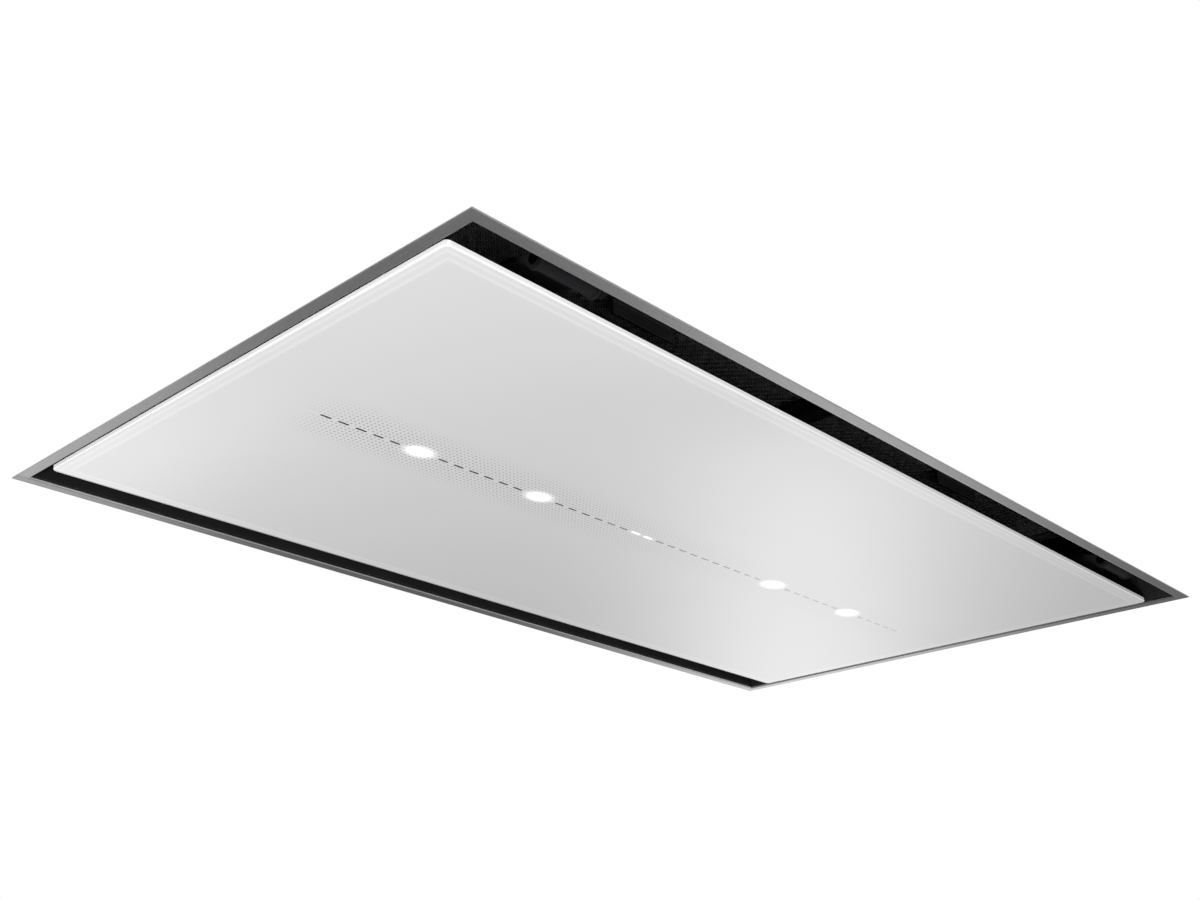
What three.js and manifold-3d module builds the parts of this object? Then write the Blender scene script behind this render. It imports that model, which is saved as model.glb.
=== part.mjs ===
// Recessed ceiling range hood: trim frame, black plenum, swing-down glass panel with lamps,
// grease filters, centrifugal blower in a motor box, duct spigot with non-return flaps,
// hanger brackets and swing-out ceiling clamps.
// Millimetres, +Z up, +X along the long side. The origin is the centre of the trim frame in the
// plane of the ceiling's underside, so the trim lies below z = 0 and the hood hangs above it.

import * as THREE from 'three';
import { mergeVertices } from 'three/addons/utils/BufferGeometryUtils.js';
import Module from 'manifold-3d';

const wasm = await Module();
wasm.setup();

// ---------------------------------------------------------------- driving dimensions

// Trim frame
const FRAME_LENGTH = 900;
const FRAME_DEPTH = 500;
const TRIM_FACE = 9.5;
const TRIM_SHEET = 1.5;
const TRIM_BEND = 2.5;
const TRIM_LIP_HEIGHT = 8;
const TRIM_LIP_SHEET = 1.2;

// Clearances
const SEAT_GAP = 0.3;
const RUNNING_GAP = 1.5;

// Plenum
const WALL_SHEET = 1.2;
const PLENUM_HEIGHT = 125;
const WALL_FLANGE = 20;

// Ceiling clamps and their pockets in the end walls
const CLAMP_INSET = 68.5;
const POCKET_COVER = 3.5;
const POCKET_END_GAP = 4;
const POCKET_FLOOR = 10.4;
const POCKET_HEIGHT = 50.6;
const POCKET_WINDOW_GAP = 8;
const POCKET_FLANGE = 14;
const WING_GAP = 2.5;
const WING_LENGTH = 32;
const WING_WIDTH = 15;
const WING_SHEET = 3;
const WING_BOSS_HEIGHT = 12;
const WING_FOOT = 3;
const SCREW_RADIUS = 2.5;
const SCREW_HEAD_RADIUS = 4.5;
const SCREW_HEAD_HEIGHT = 3.6;
const SCREW_COLLAR_HEIGHT = 1.3;

// Filter shelf and cassettes
const SHELF_LEVEL = 84;
const SHELF_FLANGE = 16;
const FILTER_END_MARGIN = 32.5;
const FILTER_SIDE_MARGIN = 50.5;
const FILTER_THICKNESS = 12;
const FILTER_SPACING = 16;
const FILTER_RIM = 14;
const FILTER_SHEET = 1;
const PLEAT_PITCH = 16;
const PLEAT_SHEET = 0.8;
const RAIL_LIP = 5;
const RAIL_FOOT = 12;
const LATCH_WIDTH = 64;
const LATCH_LENGTH = 40;
const LATCH_SHEET = 2;
const LATCH_REACH = 7;
const LATCH_PULL = 10;

// Glass panel
const SUCTION_GAP = 24.9;
const END_GAP = 4;
const GLASS_SHEET = 4;
const GLASS_CORNER = 5.5;
const PAN_INSET = 10.8;
const PAN_POCKET_GAP = 3.3;
const PAN_SLOPE = 12;
const PAN_SHEET = 1;
const PAN_FLANGE = 16;
const LAMP_SPOTS = [-269.1, -149.5, 149.5, 269.1];
const LAMP_LENS_RADIUS = 13;
const LAMP_BODY_RADIUS = 21;
const LAMP_HEIGHT = 14;
const LAMP_HEADROOM = 2.7;
const DISPLAY_X = -29.9;
const DISPLAY_LENGTH = 110;
const DISPLAY_DEPTH = 46;

// Panel hinge and magnet catches
const HINGE_INSET = 86.5;
const HINGE_WIDTH = 48;
const HINGE_SETBACK = 16.5;
const HINGE_LEVEL = 12;
const HINGE_PIN_RADIUS = 3;
const HINGE_EAR_RADIUS = 7;
const HINGE_EAR_SHEET = 2;
const HINGE_PLATE_FOOT = 27;
const HINGE_PLATE_HEIGHT = 33;
const ARM_REACH = 98;
const ARM_SHEET = 3;
const KNUCKLE_RADIUS = 6;
const STRIKE_RADIUS = 12;
const STRIKE_SHEET = 2;
const STRIKE_INSET = 21;
const CATCH_WIDTH = 26;
const CATCH_SHEET = 1.5;
const MAGNET_HEIGHT = 9;

// Motor box
const BOX_LENGTH = 380;
const BOX_DEPTH = 400;
const BOX_SHEET = 1.2;
const BOX_FLANGE = 14;

// Blower
const BLOWER_END_GAP = 10.5;
const BLOWER_SIDE_GAP = 14.5;
const WHEEL_RADIUS = 95;
const WHEEL_EYE = 77;
const WHEEL_RING = 3;
const WHEEL_GAP = 8.5;
const BLADE_COUNT = 34;
const BLADE_SHEET = 1.2;
const BLADE_LEAD = 0.2;
const TONGUE_GAP = 8;
const SCROLL_GROWTH = 67;
const SCROLL_CLEARANCE = 2.25;
const SCROLL_HEADROOM = 22.25;
const SCROLL_SHEET = 1.2;
const SCROLL_MOUTH = 80;
const SCROLL_FOOT_RADIUS = 6;
const INLET_THROAT = 72;
const INLET_FLARE = 20;
const INLET_SHEET = 1.2;
const INLET_FLANGE = 12;

// Motor
const ROTOR_RADIUS = 42;
const ROTOR_WALL = 4;
const ROTOR_FLANGE = 10;
const ROTOR_DEPTH = 48;
const AIR_GAP = 3;
const SHAFT_RADIUS = 4;
const MOTOR_HOLE = 50;
const MOUNT_SHEET = 3;
const MOUNT_REACH = 88;
const MOUNT_ARM_WIDTH = 24;

// Duct spigot and flaps
const DUCT_DIAMETER = 150;
const DUCT_PLAY = 0.5;
const SPIGOT_SHEET = 1.5;
const SPIGOT_LENGTH = 60;
const SPIGOT_COLLAR = 8;
const SPIGOT_MARGIN = 3.75;
const SPINDLE_SETBACK = 12;
const SPINDLE_RADIUS = 2;
const FLAP_SHEET = 1.5;
const FLAP_KNUCKLE = 3.8;
const FLAP_KNUCKLE_LENGTH = 18;
const FLAP_KNUCKLE_START = 12;
const FLAP_KNUCKLE_GAP = 2;

// Electronics box
const CASE_LENGTH = 150;
const CASE_DEPTH = 160;
const CASE_HEIGHT = 44;
const CASE_WALL = 2;
const CASE_INSET = 40.5;
const CASE_CORNER = 5;
const GLAND_RADIUS = 9;
const BOARD_SHEET = 1.6;
const BOARD_MARGIN = 4;
const BOARD_RISE = 6;
const TRANSFORMER_LENGTH = 40;
const TRANSFORMER_DEPTH = 38;
const TRANSFORMER_HEIGHT = 24;
const RELAY_LENGTH = 24;
const RELAY_DEPTH = 28;
const RELAY_HEIGHT = 15;
const TERMINAL_LENGTH = 60;
const TERMINAL_DEPTH = 14;
const TERMINAL_HEIGHT = 12;
const CAPACITOR_RADIUS = 8;
const CAPACITOR_HEIGHT = 22;
const COMPONENT_MARGIN = 12;

// Hanger brackets
const HANGER_END_INSET = 55.5;
const HANGER_SIDE_INSET = 44.5;
const HANGER_WIDTH = 44;
const HANGER_LEG = 32;
const HANGER_RISE = 34;
const HANGER_SHEET = 2.5;
const HANGER_SLOT_LENGTH = 22;
const HANGER_SLOT_WIDTH = 9;

// ---------------------------------------------------------------- derived places

const INNER_X = FRAME_LENGTH / 2 - TRIM_FACE;
const INNER_Y = FRAME_DEPTH / 2 - TRIM_FACE;
const TRIM_TOP = TRIM_BEND - TRIM_SHEET;
const WALL_FOOT = TRIM_TOP + SEAT_GAP;
const PLENUM_CEILING = PLENUM_HEIGHT - WALL_SHEET;
const WALL_TOP = PLENUM_CEILING - SEAT_GAP;
const POCKET_DEPTH = WING_WIDTH + WING_GAP + POCKET_COVER;
const POCKET_WIDTH = WING_LENGTH + WING_WIDTH / 2 + WING_GAP + POCKET_END_GAP;
const POCKET_TOP = POCKET_FLOOR + POCKET_HEIGHT;
const CLAMP_Y = INNER_Y - CLAMP_INSET;
const GLASS_X = INNER_X - END_GAP;
const GLASS_Y = INNER_Y - SUCTION_GAP;
const GLASS_FOOT = -TRIM_SHEET;
const GLASS_TOP = GLASS_FOOT + GLASS_SHEET;
const PANEL_BACK = GLASS_TOP + SEAT_GAP;
const PAN_X = INNER_X - POCKET_DEPTH - WALL_SHEET - PAN_POCKET_GAP;
const PAN_Y = GLASS_Y - PAN_INSET;
const PAN_TOP = PANEL_BACK + LAMP_HEIGHT + LAMP_HEADROOM + PAN_SHEET;
const HINGE_X = INNER_X - HINGE_INSET;
const HINGE_Y = -(INNER_Y - HINGE_SETBACK);
const FILTER_LENGTH = INNER_X - FILTER_END_MARGIN - FILTER_SPACING / 2;
const FILTER_DEPTH = 2 * (INNER_Y - FILTER_SIDE_MARGIN);
const FILTER_FOOT = SHELF_LEVEL - SEAT_GAP - FILTER_THICKNESS - SEAT_GAP;
const FILTER_X = (FILTER_LENGTH + FILTER_SPACING) / 2;
const SPIGOT_RADIUS = DUCT_DIAMETER / 2 - DUCT_PLAY;
const TOP_LEVEL = PLENUM_HEIGHT + 2 * (SPIGOT_RADIUS + SPIGOT_COLLAR + SPIGOT_MARGIN);
const BOX_FOOT = PLENUM_HEIGHT + SEAT_GAP;
const BOX_TOP = TOP_LEVEL - BOX_SHEET - SEAT_GAP;
const SCROLL_FOOT = PLENUM_HEIGHT + INLET_FLARE + SCROLL_CLEARANCE;
const SCROLL_TOP = TOP_LEVEL - SCROLL_HEADROOM;
const SCROLL_START = WHEEL_RADIUS + TONGUE_GAP;
const SCROLL_END = SCROLL_START + SCROLL_GROWTH;
const TONGUE_ANGLE = -Math.asin((SCROLL_END - SCROLL_MOUTH) / SCROLL_START);
const SCROLL_RATE = Math.log(SCROLL_END / SCROLL_START) / (1.5 * Math.PI - TONGUE_ANGLE);
const BLOWER_X = scrollRadius(Math.PI) + SCROLL_SHEET + BLOWER_END_GAP - BOX_LENGTH / 2;
const BLOWER_Y = BOX_DEPTH / 2 - scrollRadius(Math.PI / 2) - SCROLL_SHEET - BLOWER_SIDE_GAP;
const WHEEL_FOOT = SCROLL_FOOT + SCROLL_SHEET + WHEEL_GAP;
const WHEEL_TOP = SCROLL_TOP - SCROLL_SHEET - WHEEL_GAP;
const STATOR_RADIUS = ROTOR_RADIUS - ROTOR_WALL - AIR_GAP;
const DUCT_Y = BLOWER_Y - SCROLL_END + SCROLL_MOUTH / 2;
const DUCT_LEVEL = (PLENUM_HEIGHT + TOP_LEVEL) / 2;
const CASE_X = -(INNER_X - CASE_INSET - CASE_LENGTH / 2);

// Air-side radius of the scroll's log spiral at an angle round the blower's axis.
function scrollRadius(angle) {
	return SCROLL_START * Math.exp(SCROLL_RATE * (angle - TONGUE_ANGLE));
}

// ---------------------------------------------------------------- finishes

function finish(color, roughness, metalness) {
	return new THREE.MeshStandardMaterial({ color, roughness, metalness });
}

const STAINLESS = finish(0xa9abad, 0.35, 1);
const BLACK_PAINT = finish(0x17181b, 0.5, 0.2);
const GALVANISED = finish(0xb2b6b9, 0.45, 0.9);
const WHITE_GLASS = finish(0xe4e8eb, 0.06, 0);
const ALUMINIUM = finish(0xc6c9cc, 0.4, 1);
const ZINC = finish(0xbfc2c4, 0.4, 1);
const BLACK_PLASTIC = finish(0x1d1e20, 0.6, 0);
const GREY_PLASTIC = finish(0x8b9095, 0.6, 0);
const LAMP_WHITE = finish(0xf6f7f8, 0.3, 0);
const BOARD_GREEN = finish(0x1f5a3c, 0.5, 0);
const MOTOR_STEEL = finish(0x3a3d41, 0.4, 0.8);

// ---------------------------------------------------------------- shape helpers

const CYCLE_TO_X = new THREE.Matrix4().set(0, 0, 1, 0, 1, 0, 0, 0, 0, 1, 0, 0, 0, 0, 0, 1);

function polygon(points) {
	return new THREE.Shape(points.map(([u, v]) => new THREE.Vector2(u, v)));
}

function arc(cx, cy, radius, from, to, steps) {
	const points = [];
	for (let i = 0; i <= steps; i++) {
		const angle = from + (to - from) * i / steps;
		points.push([cx + radius * Math.cos(angle), cy + radius * Math.sin(angle)]);
	}
	return points;
}

function circle(cx, cy, radius, steps) {
	return arc(cx, cy, radius, 0, 2 * Math.PI, steps).slice(0, steps);
}

function roundedRectangle(halfX, halfY, radius, steps) {
	const turn = Math.PI / 2;
	return [
		...arc(halfX - radius, halfY - radius, radius, 0, turn, steps),
		...arc(radius - halfX, halfY - radius, radius, turn, 2 * turn, steps),
		...arc(radius - halfX, radius - halfY, radius, 2 * turn, 3 * turn, steps),
		...arc(halfX - radius, radius - halfY, radius, 3 * turn, 4 * turn, steps),
	];
}

function raise(points, foot, top, holes = []) {
	const shape = polygon(points);
	for (const hole of holes) {
		shape.holes.push(polygon(hole));
	}
	const geometry = new THREE.ExtrudeGeometry(shape, { depth: top - foot, bevelEnabled: false });
	return geometry.translate(0, 0, foot);
}

// A profile in the (y, z) plane, drawn out along x.
function drawAlongX(points, from, to, holes = []) {
	return raise(points, from, to, holes).applyMatrix4(CYCLE_TO_X);
}

// A profile in the (x, z) plane, drawn out along y.
function drawAlongY(points, from, to, holes = []) {
	return raise(points, -to, -from, holes).rotateX(Math.PI / 2);
}

function block(x0, x1, y0, y1, z0, z1) {
	const geometry = new THREE.BoxGeometry(x1 - x0, y1 - y0, z1 - z0);
	return geometry.translate((x0 + x1) / 2, (y0 + y1) / 2, (z0 + z1) / 2);
}

// A profile of [radius, z] points turned about the z axis.
function revolve(points, steps) {
	const profile = points.map(([radius, z]) => new THREE.Vector2(radius, z));
	return new THREE.LatheGeometry(profile, steps).rotateX(Math.PI / 2);
}

function rod(radius, foot, top, steps) {
	return revolve([[0, foot], [radius, foot], [radius, top], [0, top]], steps);
}

// A closed profile of [outward offset, z] points carried round a rectangle with mitred corners.
function mitredRing(profile, halfX, halfY) {
	const corners = [[1, -1], [1, 1], [-1, 1], [-1, -1]];
	const positions = [];
	for (const [signX, signY] of corners) {
		for (const [offset, z] of profile) {
			positions.push(signX * (halfX + offset), signY * (halfY + offset), z);
		}
	}
	const count = profile.length;
	const index = [];
	for (let k = 0; k < corners.length; k++) {
		const here = k * count;
		const next = ((k + 1) % corners.length) * count;
		for (let i = 0; i < count; i++) {
			const j = (i + 1) % count;
			index.push(next + i, next + j, here + j, next + i, here + j, here + i);
		}
	}
	const geometry = new THREE.BufferGeometry();
	geometry.setAttribute('position', new THREE.Float32BufferAttribute(positions, 3));
	geometry.setIndex(index);
	return geometry;
}

function solid(geometry) {
	const bare = geometry.clone();
	bare.deleteAttribute('normal');
	bare.deleteAttribute('uv');
	const merged = mergeVertices(bare, 1e-4);
	const triangles = [];
	for (let i = 0; i < merged.index.count; i += 3) {
		const [a, b, c] = [0, 1, 2].map((k) => merged.index.getX(i + k));
		if (a !== b && b !== c && c !== a) {
			triangles.push(a, b, c);
		}
	}
	const mesh = new wasm.Mesh({
		numProp: 3,
		vertProperties: new Float32Array(merged.attributes.position.array),
		triVerts: new Uint32Array(triangles),
	});
	return new wasm.Manifold(mesh);
}

function surface(body) {
	const mesh = body.getMesh();
	const geometry = new THREE.BufferGeometry();
	geometry.setAttribute('position', new THREE.BufferAttribute(mesh.vertProperties, 3));
	geometry.setIndex(new THREE.BufferAttribute(mesh.triVerts, 1));
	return geometry;
}

// Joins the first list of closed shapes and cuts the second list out of them.
function build(joined, cut = []) {
	let body = solid(joined[0]);
	for (const shape of joined.slice(1)) {
		body = body.add(solid(shape));
	}
	for (const shape of cut) {
		body = body.subtract(solid(shape));
	}
	return surface(body);
}

function piece(parent, name, geometry, material, place = [0, 0, 0], turn = 0) {
	const mesh = new THREE.Mesh(geometry, material);
	mesh.name = name;
	mesh.position.set(...place);
	mesh.rotation.z = turn;
	parent.add(mesh);
	return mesh;
}

function section(parent) {
	const group = new THREE.Group();
	parent.add(group);
	return group;
}

// ---------------------------------------------------------------- trim frame and plenum

// The trim's lip stands behind the plenum walls, whose inner faces are flush with the trim's bend.
function trimProfile() {
	const lipInner = WALL_SHEET + SEAT_GAP;
	const lipOuter = lipInner + TRIM_LIP_SHEET;
	return [
		...arc(TRIM_BEND, TRIM_TOP, TRIM_BEND, Math.PI, 1.5 * Math.PI, 6),
		[TRIM_FACE, -TRIM_SHEET],
		[TRIM_FACE, 0],
		[lipOuter, 0],
		[lipOuter, TRIM_LIP_HEIGHT],
		[lipInner, TRIM_LIP_HEIGHT],
		[lipInner, TRIM_TOP],
	];
}

// Long wall: a sheet with its top edge folded inwards under the plenum's top plate.
function longWall() {
	const profile = [
		[INNER_Y, WALL_FOOT],
		[INNER_Y + WALL_SHEET, WALL_FOOT],
		[INNER_Y + WALL_SHEET, WALL_TOP],
		[INNER_Y - WALL_FLANGE, WALL_TOP],
		[INNER_Y - WALL_FLANGE, WALL_TOP - WALL_SHEET],
		[INNER_Y, WALL_TOP - WALL_SHEET],
	];
	return drawAlongX(profile, -INNER_X + SEAT_GAP, INNER_X - SEAT_GAP);
}

function clampAxisX() {
	return INNER_X - POCKET_DEPTH + WING_WIDTH / 2 + WING_GAP;
}

function clampAxisY() {
	return CLAMP_Y + (WING_WIDTH - POCKET_WIDTH) / 2 + WING_GAP;
}

// End wall: a sheet with a folded top edge and a window for each clamp's pocket.
function endWall() {
	const outerY = INNER_Y + WALL_SHEET;
	const flangeY = INNER_Y - WALL_FLANGE - SEAT_GAP;
	const joined = [
		block(INNER_X, INNER_X + WALL_SHEET, -outerY, outerY, WALL_FOOT, WALL_TOP),
		block(INNER_X - WALL_FLANGE, INNER_X + WALL_SHEET, -flangeY, flangeY, WALL_TOP - WALL_SHEET, WALL_TOP),
	];
	const half = POCKET_WIDTH / 2 + POCKET_WINDOW_GAP;
	const windows = [-CLAMP_Y, CLAMP_Y].map((middle) => block(
		INNER_X - WALL_SHEET, INNER_X + 2 * WALL_SHEET,
		middle - half, middle + half, POCKET_FLOOR, POCKET_TOP + POCKET_WINDOW_GAP,
	));
	return build(joined, windows);
}

// Clamp pocket: a pressed box, open outwards, with a flange against the end wall's inner face on
// three sides and a hole for the screw in its floor. The side is 1 where it lies towards +y.
function clampPocket(side) {
	const middle = side * CLAMP_Y;
	const half = POCKET_WIDTH / 2;
	const back = INNER_X - POCKET_DEPTH;
	const mouth = INNER_X - SEAT_GAP;
	const foot = POCKET_FLOOR - WALL_SHEET;
	const box = block(
		back - WALL_SHEET, mouth,
		middle - half - WALL_SHEET, middle + half + WALL_SHEET,
		foot, POCKET_TOP + WALL_SHEET,
	);
	const flange = block(
		mouth - WALL_SHEET, mouth,
		middle - half - POCKET_FLANGE, middle + half + POCKET_FLANGE,
		foot, POCKET_TOP + POCKET_FLANGE,
	);
	const hollow = block(back, mouth + WALL_SHEET, middle - half, middle + half, POCKET_FLOOR, POCKET_TOP);
	const hole = rod(SCREW_RADIUS + SEAT_GAP, foot - WALL_SHEET, POCKET_FLOOR + WALL_SHEET, 16);
	return build([box, flange], [hollow, hole.translate(clampAxisX(), side * clampAxisY(), 0)]);
}

function plenumTop() {
	const outline = roundedRectangle(INNER_X + WALL_SHEET, INNER_Y + WALL_SHEET, 3, 2);
	const eye = circle(BLOWER_X, BLOWER_Y, INLET_THROAT + INLET_FLARE, 32);
	return raise(outline, PLENUM_CEILING, PLENUM_HEIGHT, [eye]);
}

// ---------------------------------------------------------------- filter shelf and cassettes

function filterWindow(side) {
	const halfX = FILTER_LENGTH / 2 - FILTER_RIM;
	const halfY = FILTER_DEPTH / 2 - FILTER_RIM;
	return roundedRectangle(halfX, halfY, 6, 2).map(([x, y]) => [x + side * FILTER_X, y]);
}

// A folded rail welded under the shelf: its leg stands at legY, and its lip, whose upper face is
// at lipTop, reaches in to lipY.
function shelfRail(lipY, legY, lipTop) {
	const profile = [
		[lipY, lipTop - WALL_SHEET],
		[legY + WALL_SHEET, lipTop - WALL_SHEET],
		[legY + WALL_SHEET, SHELF_LEVEL - WALL_SHEET],
		[legY + RAIL_FOOT, SHELF_LEVEL - WALL_SHEET],
		[legY + RAIL_FOOT, SHELF_LEVEL + WALL_SHEET / 2],
		[legY, SHELF_LEVEL + WALL_SHEET / 2],
		[legY, lipTop],
		[lipY, lipTop],
	];
	const half = FILTER_X + FILTER_LENGTH / 2;
	return drawAlongX(profile, -half, half);
}

// The rail that the rear edge of each cassette hooks over.
function hookRail() {
	const legY = FILTER_DEPTH / 2 + RUNNING_GAP;
	return shelfRail(legY - RAIL_LIP, legY, FILTER_FOOT - SEAT_GAP);
}

// The rail that the latches' tongues rest on.
function catchRail() {
	const lipTop = FILTER_FOOT - LATCH_SHEET - 2 * SEAT_GAP;
	const lipY = FILTER_DEPTH / 2 + RUNNING_GAP;
	return shelfRail(lipY, lipY + LATCH_REACH, lipTop).rotateZ(Math.PI);
}

// Shelf: a sheet across the plenum with two windows, an upturned rim and the cassettes' rails.
function filterShelf() {
	const halfX = INNER_X - SEAT_GAP;
	const halfY = INNER_Y - SEAT_GAP;
	const outline = [[-halfX, -halfY], [halfX, -halfY], [halfX, halfY], [-halfX, halfY]];
	const sheet = raise(outline, SHELF_LEVEL, SHELF_LEVEL + WALL_SHEET, [filterWindow(-1), filterWindow(1)]);
	const rim = [
		[-WALL_SHEET, SHELF_LEVEL],
		[0, SHELF_LEVEL],
		[0, SHELF_LEVEL + SHELF_FLANGE],
		[-WALL_SHEET, SHELF_LEVEL + SHELF_FLANGE],
	];
	return build([sheet, mitredRing(rim, halfX, halfY), hookRail(), catchRail()]);
}

function filterFrame() {
	const inner = FILTER_RIM - FILTER_SHEET;
	const top = FILTER_THICKNESS;
	const profile = [
		[0, 0],
		[FILTER_RIM, 0],
		[FILTER_RIM, top],
		[0, top],
		[0, top - FILTER_SHEET],
		[inner, top - FILTER_SHEET],
		[inner, FILTER_SHEET],
		[0, FILTER_SHEET],
	];
	return mitredRing(profile, FILTER_LENGTH / 2 - FILTER_RIM, FILTER_DEPTH / 2 - FILTER_RIM);
}

// Pleated mesh pack: a zigzag sheet that fills the channel of the cassette frame.
function filterCore() {
	const low = FILTER_SHEET + SEAT_GAP;
	const high = FILTER_THICKNESS - FILTER_SHEET - SEAT_GAP - PLEAT_SHEET;
	const reach = FILTER_LENGTH / 2 - FILTER_SHEET - SEAT_GAP;
	const folds = 2 * Math.floor(reach / PLEAT_PITCH) * 2;
	const step = 2 * reach / folds;
	const under = [];
	for (let i = 0; i <= folds; i++) {
		under.push([-reach + i * step, i % 2 ? high : low]);
	}
	const over = under.map(([x, z]) => [x, z + PLEAT_SHEET]).reverse();
	const halfY = FILTER_DEPTH / 2 - FILTER_SHEET - SEAT_GAP;
	return drawAlongY([...under, ...over], -halfY, halfY);
}

// Sliding latch under the front rim: its tongue rests on the catch rail, its pull hangs down.
function filterLatch() {
	const tip = -FILTER_DEPTH / 2 - LATCH_REACH;
	const end = tip + LATCH_LENGTH;
	const profile = [
		[tip, -LATCH_SHEET],
		[end - LATCH_SHEET, -LATCH_SHEET],
		[end - LATCH_SHEET, -LATCH_SHEET - LATCH_PULL],
		[end, -LATCH_SHEET - LATCH_PULL],
		[end, 0],
		[tip, 0],
	];
	return drawAlongX(profile, -LATCH_WIDTH / 2, LATCH_WIDTH / 2);
}

// ---------------------------------------------------------------- glass panel

function panelGlass() {
	return raise(roundedRectangle(GLASS_X, GLASS_Y, GLASS_CORNER, 5), GLASS_FOOT, GLASS_TOP);
}

// Inverted pan behind the glass: sloping walls, a glued flange below and a closed back with a
// raised pad under each magnet.
function panelPan() {
	const spread = PAN_SLOPE + PAN_FLANGE;
	const baseX = PAN_X - spread;
	const baseY = PAN_Y - spread;
	const profile = [
		[spread - PAN_FLANGE, PANEL_BACK],
		[spread, PANEL_BACK],
		[spread - PAN_SLOPE, PAN_TOP],
		[-PAN_SHEET, PAN_TOP],
		[-PAN_SHEET, PAN_TOP - PAN_SHEET],
		[spread - PAN_SLOPE - PAN_SHEET / 2, PAN_TOP - PAN_SHEET],
		[spread - 2 * PAN_SHEET, PANEL_BACK + PAN_SHEET],
		[spread - PAN_FLANGE, PANEL_BACK + PAN_SHEET],
	];
	const back = block(-baseX, baseX, -baseY, baseY, PAN_TOP - PAN_SHEET, PAN_TOP);
	const pads = [-HINGE_X, HINGE_X].map((x) => {
		const pad = rod(STRIKE_RADIUS, PAN_TOP - PAN_SHEET / 2, PAN_TOP + STRIKE_SHEET, 20);
		return pad.translate(x, strikeY(), 0);
	});
	return build([mitredRing(profile, baseX, baseY), back, ...pads]);
}

function lampModule() {
	const shoulder = 4;
	return revolve([
		[0, 0],
		[LAMP_LENS_RADIUS, 0],
		[LAMP_LENS_RADIUS, shoulder / 2],
		[LAMP_BODY_RADIUS, shoulder],
		[LAMP_BODY_RADIUS, LAMP_HEIGHT - shoulder / 2],
		[LAMP_LENS_RADIUS, LAMP_HEIGHT],
		[0, LAMP_HEIGHT],
	], 18);
}

// Display board with two light guides for the lit dashes and a controller chip.
function displayBoard() {
	const halfX = DISPLAY_LENGTH / 2;
	const halfY = DISPLAY_DEPTH / 2;
	const guide = 3;
	const board = guide + 1.6;
	const joined = [block(-halfX, halfX, -halfY, halfY, guide, board)];
	for (const side of [-1, 1]) {
		const x = side * halfX / 7.4;
		joined.push(block(x - 5, x + 5, -2, 2, 0, guide + 1));
	}
	joined.push(block(halfX / 3, halfX / 3 + 14, -7, 7, board - 1, board + 2));
	joined.push(block(-halfX + 6, -halfX + 16, -15, 15, board - 1, board + 5));
	return build(joined);
}

// ---------------------------------------------------------------- panel hinge and catches

function hingeBracket() {
	const wall = -INNER_Y + SEAT_GAP;
	const top = HINGE_PLATE_FOOT + HINGE_PLATE_HEIGHT;
	const half = HINGE_WIDTH / 2;
	const ear = [
		[wall, HINGE_PLATE_FOOT],
		...arc(HINGE_Y, HINGE_LEVEL, HINGE_EAR_RADIUS, Math.PI, 2 * Math.PI, 10),
		[HINGE_Y + HINGE_EAR_RADIUS, HINGE_PLATE_FOOT],
		[wall + HINGE_EAR_SHEET * 3, top],
		[wall, top],
	];
	const plate = block(-half, half, wall, wall + HINGE_EAR_SHEET, HINGE_PLATE_FOOT, top);
	const pin = drawAlongX(circle(HINGE_Y, HINGE_LEVEL, HINGE_PIN_RADIUS + SEAT_GAP, 16), -half - 1, half + 1);
	return build([
		plate,
		drawAlongX(ear, -half, -half + HINGE_EAR_SHEET),
		drawAlongX(ear, half - HINGE_EAR_SHEET, half),
	], [pin]);
}

function hingePin() {
	const half = HINGE_WIDTH / 2 + SEAT_GAP;
	const head = HINGE_PIN_RADIUS / 2;
	const profile = [
		[0, -half - head],
		[HINGE_PIN_RADIUS + head, -half - head],
		[HINGE_PIN_RADIUS + head, -half],
		[HINGE_PIN_RADIUS, -half],
		[HINGE_PIN_RADIUS, half],
		[HINGE_PIN_RADIUS + head, half],
		[HINGE_PIN_RADIUS + head, half + head],
		[0, half + head],
	];
	return revolve(profile, 16).applyMatrix4(CYCLE_TO_X).translate(0, HINGE_Y, HINGE_LEVEL);
}

// Arm: a knuckle on the pin, a ramp over the pan's sloping wall and a long plate on its back.
function hingeArm() {
	const half = HINGE_WIDTH / 2 - HINGE_EAR_SHEET - SEAT_GAP;
	const seat = PAN_TOP + SEAT_GAP;
	const brow = -(PAN_Y - PAN_SLOPE / 2);
	const knuckleTop = HINGE_LEVEL + KNUCKLE_RADIUS / 2;
	const profile = [
		[HINGE_Y, knuckleTop - ARM_SHEET],
		[HINGE_Y + KNUCKLE_RADIUS, knuckleTop - ARM_SHEET / 2],
		[brow, seat],
		[brow + ARM_REACH, seat],
		[brow + ARM_REACH, seat + ARM_SHEET],
		[brow - ARM_SHEET / 3, seat + ARM_SHEET],
		[HINGE_Y, knuckleTop + ARM_SHEET / 2],
	];
	const knuckle = drawAlongX(circle(HINGE_Y, HINGE_LEVEL, KNUCKLE_RADIUS, 16), -half, half);
	const bore = drawAlongX(circle(HINGE_Y, HINGE_LEVEL, HINGE_PIN_RADIUS + SEAT_GAP, 16), -half - 1, half + 1);
	return build([knuckle, drawAlongX(profile, -half, half)], [bore]);
}

function strikeY() {
	return PAN_Y - PAN_SLOPE - STRIKE_INSET;
}

function magnetFoot() {
	return PAN_TOP + STRIKE_SHEET + SEAT_GAP;
}

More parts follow.
